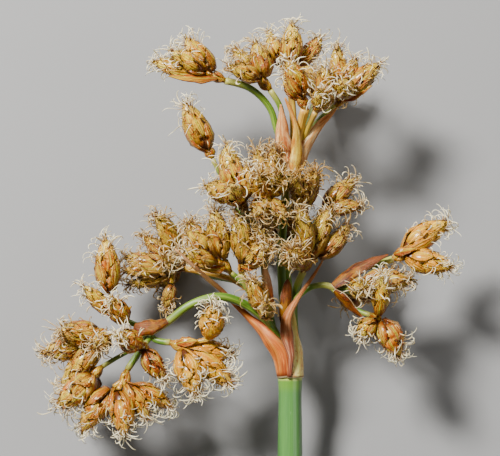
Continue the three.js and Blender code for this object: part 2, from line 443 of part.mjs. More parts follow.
// The places that a hair can spring from: the middle and the outward direction of each facet of
// a spikelet's body that lies in its outer part, in a drawn order that puts those by the tip first.
function hairSeats(body, [base, tip], random) {
  const start = vector(base);
  const forward = vector(tip).sub(start);
  const length = forward.length();
  forward.normalize();
  const position = body.getAttribute("position");
  const corner = (i) => new THREE.Vector3().fromBufferAttribute(position, body.index.getX(i));
  const seats = [];
  for (let i = 0; i < body.index.count; i += 3) {
    const facet = new THREE.Triangle(corner(i), corner(i + 1), corner(i + 2));
    const middle = facet.getMidpoint(new THREE.Vector3());
    const share = middle.clone().sub(start).dot(forward) / length;
    if (share < HAIR_ZONE[0] || share > HAIR_ZONE[1]) continue;
    const normal = facet.getNormal(new THREE.Vector3());
    seats.push({ middle, normal, forward, share, order: random() - share });
  }
  return seats.sort((a, b) => a.order - b.order);
}

// The middle line of a hair: rooted inside the facet, out and towards the tip, then curling away.
function hairPath({ middle, normal, forward, share }, curl, reach) {
  const out = normal.clone().addScaledVector(forward, 0.5 + share).normalize();
  const side = normal.clone().cross(forward).normalize();
  const root = middle.clone().addScaledVector(normal, -2 * HAIR_RADIUS);
  const bend = middle.clone().addScaledVector(out, reach * HAIR_BEND);
  const end = bend.clone().addScaledVector(out, reach * (0.9 - HAIR_BEND));
  end.addScaledVector(side, reach * curl).addScaledVector(forward, reach * 0.1);
  return [root, bend, end].map((p) => p.toArray());
}

// A hair along its middle line: three flat sides up to the bend, then a point.
function hair([root, bend, end]) {
  const lines = [root, bend, end].map(vector);
  const forward = lines[1].clone().sub(lines[0]).normalize();
  const [across, up] = squareTo(forward);
  const plain = new THREE.CylinderGeometry(0, 1, 1, 3, 2);
  return reshape(plain, (x, y, z) =>
    lines[Math.round((y + 0.5) * 2)]
      .clone()
      .addScaledVector(across, x * HAIR_RADIUS)
      .addScaledVector(up, z * HAIR_RADIUS),
  );
}

// The hairs of one spikelet, spread round it. One that would cross anything else is left out.
function hairsOf(owner, spikelet, body, random) {
  const own = vector(spikelet[0]);
  const made = [];
  const taken = [];
  for (const seat of hairSeats(body, spikelet, random)) {
    if (made.length === HAIRS_PER_SPIKELET) break;
    if (taken.some((normal) => normal.angleTo(seat.normal) < HAIR_SPREAD)) continue;
    const curl = random() - 0.5;
    const path = hairPath(seat, curl, HAIR_LENGTH * (HAIR_SHORTEST + HAIR_RANGE * random()));
    const outer = [vector(path[1]), vector(path[2])];
    const inner = [seat.middle, outer[0]];
    const blocked = obstacles.some(({ owner: other, ends, radius }) => {
      if (other === owner && ends[0].distanceTo(own) < SAME_PLACE) return false;
      const room = radius + HAIR_RADIUS + (other === owner ? 0.02 : JOINT_GAP);
      return apart(outer, ends) < room || apart(inner, ends) < room;
    });
    if (blocked) continue;
    made.push(path);
    taken.push(seat.normal);
    addObstacle(owner, path, HAIR_RADIUS);
  }
  return made;
}

// The plane that the plant rests on, in the plant's own frame.
const up = new THREE.Vector3(0, Math.sin(LEAN), Math.cos(LEAN));
const lowest = -CULM_LENGTH * Math.sin(LEAN) - CULM_RADIUS * Math.cos(LEAN) + FOOT_CUT;

// The join of several solids, cut off flat at the resting plane, with no loose scrap or sliver.
function join(solids) {
  const whole = wasm.Manifold.union(solids).trimByPlane(up.toArray(), lowest).simplify(JOIN_TOLERANCE);
  const bodies = whole.decompose().sort((a, b) => b.volume() - a.volume());
  return bodies[0];
}

function part(name, colour, solids) {
  const mesh = new THREE.Mesh(
    geometryOf(join(solids)),
    new THREE.MeshStandardMaterial({ ...COLOURS[colour], metalness: 0, flatShading: true }),
  );
  mesh.name = name;
  return mesh;
}

function culm() {
  const path = [[0, -CULM_LENGTH, 0], [0, 0, 0]];
  const stem = bar(path, [CULM_RADIUS, CULM_RADIUS], CULM_SIDES, 1);
  return part("culm", "culm", [solid(stem)]);
}

// Straight steps to draw a ray's curve with.
function stepsFor(path) {
  const curve = new THREE.CatmullRomCurve3(path.map(vector), false, "centripetal");
  return Math.max(2, Math.round(curve.getLength() / RAY_STEP));
}

function rays() {
  return Object.entries(RAYS).map(([name, stems]) => {
    const bars = stems.map(({ r, path }, i) => bar(path, r, i ? TWIG_SIDES : RAY_SIDES, stepsFor(path)));
    return part(name, "ray", bars.map(solid));
  });
}

function bracts() {
  return Object.entries(BRACTS).map(([name, leaf]) =>
    part(name, leaf.colour, [solid(blade(leaf, leaf.path.length))]),
  );
}

// A point set back from the end of a stretch, so that what is carried keeps clear of its carrier.
function after(neck, hub, gap) {
  const start = vector(neck);
  return start.add(vector(hub).sub(start).setLength(gap)).toArray();
}

// A spikelet that starts near its knob is carried on into it. Another has a stalk.
function rooted(hub, [base, tip, width]) {
  if (vector(base).distanceTo(vector(hub)) > LONG_STALK) return [base, tip, width];
  return [after(hub, base, KNOB_RADIUS / 2), tip, width];
}

// The short bract under a head: rooted in its knob, from its seat to its tip.
function wing(hub, [seat, tip, half]) {
  const middle = vector(seat).lerp(vector(tip), 0.5).add(new THREE.Vector3(0, 0, WING_RISE)).toArray();
  const width = [WING_HALF[0], half, half, WING_HALF[1]];
  return blade({ path: [hub, seat, middle, tip], half: width, face: [0, 0.2, 1], curl: WING_CURL }, 2);
}

function heads() {
  return Object.entries(HEADS).map(([name, { neck, hub, spikelets, wings }], index) => {
    const random = seeded(FIRST_SEED + index);
    const seat = after(neck, hub, JOINT_GAP);
    const end = after(hub, spikelets[0][1], KNOB_RADIUS);
    const pieces = [bar([seat, hub, end], [STALK_RADIUS, KNOB_RADIUS, 0], TWIG_SIDES, 2, true)];
    for (const spikelet of spikelets) {
      const body = rooted(hub, spikelet);
      if (body[0] === spikelet[0])
        pieces.push(bar([hub, body[0]], [STALK_RADIUS, STALK_RADIUS], TWIG_SIDES, 1));
      const egg = spikeletBody(body);
      pieces.push(egg, ...hairsOf(name, spikelet, egg, random).map(hair));
    }
    pieces.push(...wings.map((leaf) => wing(hub, leaf)));
    return part(name, "head", pieces.map(solid));
  });
}

const plant = new THREE.Group();
plant.add(culm(), ...rays(), ...bracts(), ...heads());
plant.rotation.x = LEAN;

// The origin lies under the middle of the plant, on the surface that it rests on.
const bulrush = new THREE.Group();
bulrush.add(plant);
bulrush.updateMatrixWorld(true);
const bounds = new THREE.Box3().setFromObject(bulrush, true);
plant.position.set(-(bounds.min.x + bounds.max.x) / 2, -(bounds.min.y + bounds.max.y) / 2, -lowest);

export default bulrush;
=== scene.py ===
"""The looks of a cut flowering top of softstem bulrush, lying on its back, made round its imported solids.

Places and sizes are millimetres in the plant's own frame: x to the right, y up the stem and z towards the
viewer, with the zero point where the stem ends and its rays begin. in_frame() leans the plant back and puts
it where its solids are. The lists of numbers follow a stem, a spikelet or a scale from its foot to its tip.
"""
import math

import bpy
import numpy as np
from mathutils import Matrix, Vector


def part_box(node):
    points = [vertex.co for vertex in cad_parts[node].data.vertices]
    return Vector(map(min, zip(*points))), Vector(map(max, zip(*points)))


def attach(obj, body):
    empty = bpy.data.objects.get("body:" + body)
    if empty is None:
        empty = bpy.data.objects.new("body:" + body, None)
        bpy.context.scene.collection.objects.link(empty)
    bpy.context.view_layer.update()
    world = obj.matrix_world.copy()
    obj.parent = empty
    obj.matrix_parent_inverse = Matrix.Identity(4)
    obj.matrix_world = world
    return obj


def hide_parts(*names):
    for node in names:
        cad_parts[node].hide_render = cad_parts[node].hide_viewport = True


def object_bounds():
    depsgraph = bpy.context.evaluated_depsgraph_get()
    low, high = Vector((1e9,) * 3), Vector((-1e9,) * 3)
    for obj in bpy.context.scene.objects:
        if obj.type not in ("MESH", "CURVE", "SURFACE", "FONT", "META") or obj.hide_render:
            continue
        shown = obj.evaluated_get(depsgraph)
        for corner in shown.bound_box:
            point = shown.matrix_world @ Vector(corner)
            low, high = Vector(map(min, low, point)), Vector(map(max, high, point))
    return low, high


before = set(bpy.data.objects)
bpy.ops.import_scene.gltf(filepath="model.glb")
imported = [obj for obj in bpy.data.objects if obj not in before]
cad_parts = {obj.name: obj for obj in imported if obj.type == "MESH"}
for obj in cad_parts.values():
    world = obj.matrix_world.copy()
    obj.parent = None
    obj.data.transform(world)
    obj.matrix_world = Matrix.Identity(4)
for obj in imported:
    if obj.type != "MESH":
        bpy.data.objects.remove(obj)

CAD_BOX = [list(corner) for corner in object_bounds()]
MM = 0.001

# The plant as a whole
LEAN = math.radians(8.7)
SURFACE_EASE = 0.15  # below this height a point is pressed softly towards the surface
BOX_EASE = 1.0  # and so is one that comes this close to the room round the solids
BOX_ROOM = 0.014  # that room, on each side, as a share of the box of the solids
SPAN_STEPS = 24  # of a smooth line, between two of the points that it goes through

# The stem and its rays
CULM_RADIUS = 2.1
CULM_LENGTH = 60.0
CULM_SIDES = 64
CULM_GROOVES = 0.004  # their height, as a share of the stem's radius
CULM_EDGE = [(-0.5, 1.0), (-0.15, 0.98), (0.1, 0.9), (0.3, 0.7)]  # its upper edge: y and share of the radius
WAIST = 0.09  # how much narrower the stem is
WAIST_DEPTH = 3.6  # this far below its top edge
PITH_RINGS = [0.05, 0.3, 0.5, 0.7, 0.82, 0.9, 0.965]  # shares of the stem's radius
STEM_SIDES = 14
STEM_STEP = 0.7
STEM_RIBS = 0.035  # their height, as a share of the radius

# Spikelets
LONG_STALK = 1.7  # a spikelet that starts farther than this from its hub stands on a stalk
KNOB_RADIUS = 0.95
STALK_RADIUS = 0.42
SPIKELET_FULLNESS = 1.08  # makes up for the dips between the scales
SPIKELET_OUTLINE = [0.42, 0.76, 0.95, 1.0, 0.99, 0.93, 0.82, 0.65, 0.42, 0.07]
SPIKELET_BOW = 0.045  # sideways bow of a spikelet's axis, as a share of its length
CORE_WIDTH = 0.74  # of the core between the scales, as a share of the outline
WARMTH_SPREAD = 0.35
GOLDEN_ANGLE = math.radians(137.508)

# Scales: shares of the spikelet's width for what lies across, and of its length for what lies along it
SCALES = 19
SCALE_ROWS = [0.0, 0.2, 0.42, 0.62, 0.8, 0.92, 1.0, 1.1]
SCALE_WIDTHS = [0.8, 0.94, 1.0, 0.94, 0.72, 0.42, 0.16, 0.04]
SCALE_ACROSS = [-1, -0.55, 0, 0.55, 1]
SCALE_HALF = 0.4  # half its width
SCALE_LENGTH = 0.54  # of the lowest
SCALE_TAPER = (0.45, 0.35)  # how much shorter and narrower the highest is
SCALE_START = -0.03  # where the lowest begins
SCALE_REACH = 0.76  # and the highest
SCALE_FOOT = 0.76  # how far out its foot lies, as a share of the outline
SCALE_SPREAD = [0.012, 0.18, 0.16, 0.22, 1.0]  # random part of its start, length, width, angle and lift
SCALE_KEEL = 0.028
SCALE_WRINKLES = 0.016
SCALE_RAGS = (0.014, 0.05)  # of its margins, along the spikelet and round it
SCALE_THICKNESS = 0.07

# Filaments
FREE_FILAMENTS = 28  # on a spikelet of the usual fringe and length
LYING_FILAMENTS = 52  # closer to its scales, on a fuzzy one
CROWN_FILAMENTS = 8  # that lead on past its tip
USUAL_LENGTH = 8.0  # of a spikelet
WIDE_SPIKELET = 3.9  # its filaments have their full length
FILAMENT_LENGTH = (1.7, 3.8)
FILAMENT_ROWS = 11
FILAMENT_WIDTH = (0.16, 0.26)
FILAMENT_WIDTHS = [0.6, 0.9, 1.0, 1.0, 0.95, 0.75, 0.3]
FILAMENT_THICKNESS = 0.1
FILAMENT_WAVES = 1.2  # along it
FILAMENT_TWIST = 2.2  # from its root to its end, in radians
HOOKED_OUT = 0.74  # the share of them that hook outwards
# Its crown, its free and its lying ones: the roots, from and to, as shares of the spikelet's length, then
# lean in degrees, hook in radians, their length as shares of FILAMENT_LENGTH, and how much more light brown
# they are, partly as their own colour and partly as painted shade, most on the lying ones near the scales
FRINGE = [
    [(0.88, 1.0), 34, 3.0, (1, 1), 0.1],
    [(0.42, 0.97), 28, 3.2, (1, 1), 0.0],
    [(0.12, 0.95), 30, 3.0, (0.6, 0.75), 0.3],
]

# Leaves
LEAF_ROWS = 44
LEAF_ACROSS = 13
LEAF_THICKNESS = 0.2
LEAF_WAVER = (0.05, 0.035)  # of its margins, slow and quick, as shares of its half width
LEAF_RIPPLE = 0.05  # of its surface near them, as a share of it too
LEAF_RIBS = 0.02  # their height
WING_ROOT = 0.3  # how far a short bract's root lies from its seat to the hub, as a share

# First seeds of the random draws
BRACT_SEED = 40
HEAD_SEED = 100

# Camera and light
CAMERA_PLACE = (-6.667, 24.667, 450.0)
VIEW_WIDTH = 83.33  # what the picture takes in, at the stem
SENSOR = 36.0
LAMPS = [
    ("key", (-0.25, 0.26, 0.42), 0.14, 9.2),
    ("fill", (0.42, -0.12, 0.36), 0.4, 0.7),
    ("rim", (0.12, 0.5, 0.14), 0.2, 1.2),
]  # place in metres, size and power
SKY_COLOUR = (0.95, 0.97, 1.0, 1.0)
SKY = 0.08
FLOOR_HALF = 3.0  # in metres

# Colours of the leaves, 0 to 255: the body, its light and dark streaks, its middle and its outer part, then
# how far out the middle goes and where along the leaf the outer part starts
LEAF_COLOURS = {
    "joint_bracts": [(88, 40, 0), (158, 104, 8), (48, 16, 0), (104, 66, 2), (104, 44, 0), 0.3, 0.6],
    "brown_bracts": [
      (190, 100, 36), (222, 156, 84), (128, 48, 12), (176, 108, 36), (232, 188, 134), 0.3, 0.6],
    "thin_bract": [(150, 84, 54), (220, 172, 132), (84, 30, 20), (120, 60, 44), (204, 124, 44), 0.5, 0.36],
    "straw_bracts": [
      (236, 210, 128), (254, 242, 190), (214, 138, 84), (196, 200, 96), (200, 180, 84), 0.55, 0.6],
    "golden_bracts": [
      (206, 156, 40), (248, 222, 116), (170, 84, 16), (196, 176, 56), (182, 88, 36), 0.5, 0.6],
    "pink_bracts": [(206, 150, 88), (250, 226, 170), (146, 66, 24), (200, 146, 70), (196, 122, 56), 0.4, 0.6],
}

# The rays of the umbel, each a stem with its side stems. A stem is its radius at its start, its middle and
# its end, its middle line, outwards from the culm, and at times how golden it is, from 0 to 1.
RAYS = {
  "ray_top": [
    [[0.42, 0.7, 0.85], [[0, 0.3, 0], [-0.7, 6, -0.6], [-1.3, 14, -1.7], [-1.4, 21, -2.2], [-0.8, 29, -1.8],
    [0.3, 35.6, -1]]],
    [[0.5, 0.55, 0.6], [[0.3, 34.6, -1], [-1.2, 38.3, -0.7], [-2.3, 41.4, -0.2], [-3.1, 44.2, 0],
    [-4.7, 46.4, 0.4], [-6.8, 48, 1], [-9.2, 48.8, 1.6], [-10.8, 49.1, 2]]],
    [[0.45, 0.45, 0.5], [[0.2, 34.8, -0.8], [-0.9, 41, 0.4], [-1.7, 45, 0.9], [-3.3, 47.6, 1.5]]],
    [[0.6, 0.6, 0.6], [[0.3, 35, -1], [0.6, 41, -0.6], [0.3, 46, -0.2], [-0.1, 49.6, 0]], 0.7],
    [[0.7, 0.8, 0.75], [[0.4, 34.8, -0.6], [1.1, 38.6, 0.5], [1.8, 42, 1.9], [2.4, 44.4, 3.6]], 0.9],
    [[0.55, 0.5, 0.5], [[0.6, 35, -0.8], [1.9, 38.6, 0.3], [3.2, 41.8, 1.9], [4.2, 43.9, 3.5]], 0.6],
    [[0.45, 0.5, 0.6], [[0.5, 34.8, -1.2], [2.5, 38.6, -0.9], [4.6, 42.2, -0.6], [7.6, 45, 0.4]]],
    [[0.5, 0.5, 0.55], [[0.3, 34.8, -1.3], [1.6, 39, -4.6], [3.2, 43, -9], [4.3, 45.6, -11.6]]],
  ],
  "ray_left": [
    [[0.42, 0.72, 0.65], [[-0.57, 0.3, 1], [-1.1, 4, 0.9], [-2.3, 7.2, 1.2], [-4.6, 9.9, 2.1],
    [-8, 12.3, 2.8], [-11.3, 13.3, 3.7], [-14.2, 12.9, 4], [-17, 11.7, 4], [-20.4, 9.1, 3.4],
    [-23.6, 7.2, 2.6]]],
    [[0.35, 0.35, 0.4], [[-3, 7.8, 1.1], [-3.4, 8.8, 2.1], [-3.9, 9.6, 2.9]]],
    [[0.5, 0.5, 0.55], [[-23.4, 7.5, 2.8], [-22.9, 6.5, 3.4], [-21.4, 5.9, 4.1], [-19.8, 5.8, 4.8]]],
    [[0.5, 0.55, 0.55], [[-23.2, 7.3, 2.7], [-25.4, 3.6, 2.6], [-27, 1.2, 2.8]]],
    [[0.4, 0.35, 0.4], [[-23.4, 7.2, 2.6], [-26.2, 4.6, 1], [-29, 3, 0.6], [-31.3, 1.6, 1.1]]],
    [[0.4, 0.45, 0.5], [[-22.9, 7.4, 2.8], [-25.6, 8.6, 1.6], [-27.4, 9.3, 1.2]]],
    [[0.4, 0.45, 0.5], [[-23, 7.3, 2.6], [-26, 6.6, 0.6], [-29.2, 6.8, 0.9]]],
    [[0.4, 0.4, 0.45], [[-23, 7.3, 2.8], [-23.4, 6.2, 4], [-24, 5.6, 5]]],
  ],
  "ray_right": [
    [[0.42, 0.45, 0.55], [[0.57, 0.3, 1], [0.3, 4, 1.1], [0, 8, 0.9], [0, 11.4, 1], [1.3, 13.2, 1.6],
    [3.3, 14.8, 2.2], [5.4, 15.2, 2.7], [7.6, 14.7, 2.8]]],
    [[0.5, 0.5, 0.6], [[6.8, 14.8, 2.8], [9.4, 16.4, 1.6], [12.2, 17.9, 1.6], [15, 18.8, 2],
    [17, 19.5, 2.3]]],
    [[0.4, 0.4, 0.45], [[6.8, 14.8, 2.8], [8.6, 14.7, 3], [9.7, 14.8, 3.2]]],
    [[0.4, 0.4, 0.45], [[6.8, 14.8, 2.8], [9, 12.6, 2.8], [11.4, 10.9, 3.8], [13.2, 10.3, 4.8]]],
    [[0.4, 0.4, 0.45], [[6.6, 14.8, 2.8], [8.4, 14.4, 0.6], [10, 14, -1.6]]],
  ],
  "ray_centre": [
    [[0.42, 0.6, 0.6], [[-1.15, 0.3, 0], [-1.7, 4, -0.4], [-2.7, 7.6, -0.2], [-3.7, 12.7, 0.6],
    [-4.3, 18.5, 1.2], [-4.6, 24, 1.8], [-4.4, 27.4, 2.4]]],
    [[0.45, 0.5, 0.55], [[-4.5, 23, 1.7], [-6, 25.4, 2.6], [-7.2, 27.2, 3.4]]],
    [[0.4, 0.35, 0.4], [[-4.6, 23.6, 1.7], [-8, 27, -1.2], [-10.8, 32, -1.4], [-12.9, 36.2, -0.3]]],
  ],
  "ray_centre_left": [
    [[0.42, 0.65, 0.6], [[-0.57, 0.3, -1], [-2.2, 4, -1.2], [-3.9, 8, -1], [-5.9, 12.6, 0],
    [-7.4, 15.4, 1.6], [-8.1, 17.2, 2.8]]],
    [[0.45, 0.5, 0.5], [[-7.2, 15, 1.4], [-8.8, 16.4, 1.6], [-9.9, 17.3, 2.2]]],
    [[0.45, 0.5, 0.5], [[-6.8, 14.4, 0.9], [-10, 16.2, -1.6], [-14, 17.2, -2.8], [-17.6, 17.8, -3.2]], 0.8],
    [[0.45, 0.5, 0.5], [[-9.4, 15.9, -1.2], [-13, 16.6, -4.6], [-17.2, 17.8, -8.6]]],
  ],
  "ray_centre_right": [
    [[0.42, 0.55, 0.6], [[1.15, 0.3, 0], [1, 6, -0.8], [0.7, 11, -1], [1, 14.6, 0.6], [2.1, 17.4, 2.5]]],
    [[0.45, 0.5, 0.5], [[0.7, 12, -0.6], [1.9, 17, -0.8], [2.2, 22, -0.2], [2, 26.2, 0.8]]],
    [[0.4, 0.45, 0.45], [[2.1, 20.6, -0.6], [3.6, 24, -1.4], [4.8, 26.4, -1.8]]],
  ],
  "ray_back": [
    [[0.42, 0.6, 0.6], [[0.57, 0.3, -1], [0.6, 5, -2.2], [0.2, 12, -3.8], [-0.6, 18.4, -5.2],
    [-1, 21.6, -6]]],
  ],
}

# The leaves at the joints. A leaf follows its path, half is its half width at even steps along it, face is
# the way its outer side looks, at first and at last where there are two, and curl is the angle by which
# each side bends back. Its slot is bract where none is given.
BRACTS = {
  "bract_left": dict(finish="brown_bracts", curl=1.1, face=[[-0.68, 0, 0.73], [-0.2, 0, 1]],
    half=[2.4, 2.6, 1.5, 0.7, 0.55, 0.55, 0.55, 0.42, 0.15],
    path=[[-1.5, -0.25, 1.65], [-2.2, 3.6, 1.85], [-3.5, 5.8, 2.1], [-4.8, 7.6, 1.4], [-6.9, 9.6, 0.7],
    [-8.9, 11.6, 1.1], [-11.4, 14.2, 2.3], [-13.6, 16.1, 5], [-16, 18.4, 8.4], [-18.8, 21.2, 10.4]]),
  "bract_wrap": dict(finish="thin_bract", curl=0.5, face=[0, 0, 1],
    half=[0.4, 0.45, 1.15, 0.8, 0.36, 0.3, 0.12],
    path=[[-0.2, -0.2, 2.45], [0.1, 3.6, 3.4], [-0.6, 7, 3.3], [-0.6, 9.6, 3.1], [1, 12.7, 3.1],
    [3.3, 16, 3.5], [5.4, 19.2, 1.8]]),
  "bract_main": dict(slot="straw", finish="straw_bracts", curl=1.1, face=[0.6, 0, 0.8],
    half=[2.35, 2.25, 1.6, 0.9, 0.2],
    path=[[1.35, -0.2, 1.8], [1.35, 3.4, 1.8], [1, 6.4, 1.5], [0.65, 9.4, 1.1], [0.5, 11.8, 0.7]]),
  "bract_centre": dict(finish="joint_bracts", curl=0.5, face=[0, 0, 1],
    half=[0.8, 0.9, 1, 1, 1, 1, 1, 1, 1, 0.98, 0.92, 0.8, 0.56, 0.12],
    path=[[-0.8, 8.4, 2.1], [-0.9, 10.2, 2.3], [-0.8, 12, 2.4], [-0.6, 13.8, 2.3], [-0.45, 15.2, 2.2],
    [-0.4, 16.2, 1.9]]),
  "bract_inner": dict(finish="brown_bracts", curl=0.5, face=[0.2, 0, 1],
    half=[0.4, 0.85, 0.85, 0.3],
    path=[[-2.9, 10, 1.7], [-3.3, 12.4, 1.9], [-3.8, 15.4, 2.2], [-4.3, 18.6, 2.6]]),
  "bract_top_left": dict(finish="pink_bracts", curl=1.0, face=[-0.35, 0, 0.9],
    half=[1, 1.7, 1.75, 1.6, 1.3, 0.8, 0.15],
    path=[[-0.4, 33.6, 0.4], [-1.2, 37.2, 0.8], [-1.5, 40.2, 1.5], [-1.5, 42.8, 1.9],
    [-1.6, 45.2, 2.3]]),
  "bract_top_front": dict(slot="straw", finish="golden_bracts", curl=1.0, face=[0.1, 0, 1],
    half=[0.8, 1.15, 1.1, 0.8, 0.45, 0.4, 0.15],
    path=[[0.6, 33.8, 1], [1.1, 37.4, 1.9], [1, 41, 3.1], [0.2, 43.8, 3.6], [-0.9, 46.2, 3.9]]),
  "bract_top_right": dict(slot="straw", finish="pink_bracts", curl=0.9, face=[0.35, -0.3, 0.9],
    half=[0.9, 1.35, 1.35, 1.15, 0.95, 0.6, 0.12],
    path=[[1.3, 33.8, 0.4], [2.5, 37.6, 0.8], [4.4, 40.9, 1.1], [6.6, 43.3, 1.3], [7.8, 44.7, 1.9]]),
  "bract_joint_left": dict(finish="joint_bracts", curl=0.6, face=[0.1, 0.3, 0.95],
    half=[0.55, 1, 1.4, 1.4, 0.7],
    path=[[-20.3, 9.4, 4.6], [-21.6, 8.8, 4.9], [-23.2, 8.4, 5], [-24.7, 8.3, 4.8], [-25.8, 8.5, 4.4]]),
  "bract_joint_right": dict(finish="joint_bracts", curl=0.5, face=[-0.25, 0.5, 0.85],
    half=[0.7, 1.35, 1.2, 0.8, 0.15],
    path=[[7, 15, 3.7], [8.8, 16.4, 3.7], [10.8, 17.8, 3.4], [12.9, 18.9, 3.4], [16.2, 20.3, 3.8]]),
  "bract_joint_low": dict(finish="joint_bracts", curl=0.5, face=[-0.5, -0.6, 0.6],
    half=[0.6, 1.3, 1.2, 0.75, 0.12],
    path=[[7.2, 14.3, 3.6], [8.6, 12.8, 4], [9.9, 11.5, 4.2], [11.1, 10.5, 4.5], [12.2, 9.7, 4.9]]),
}
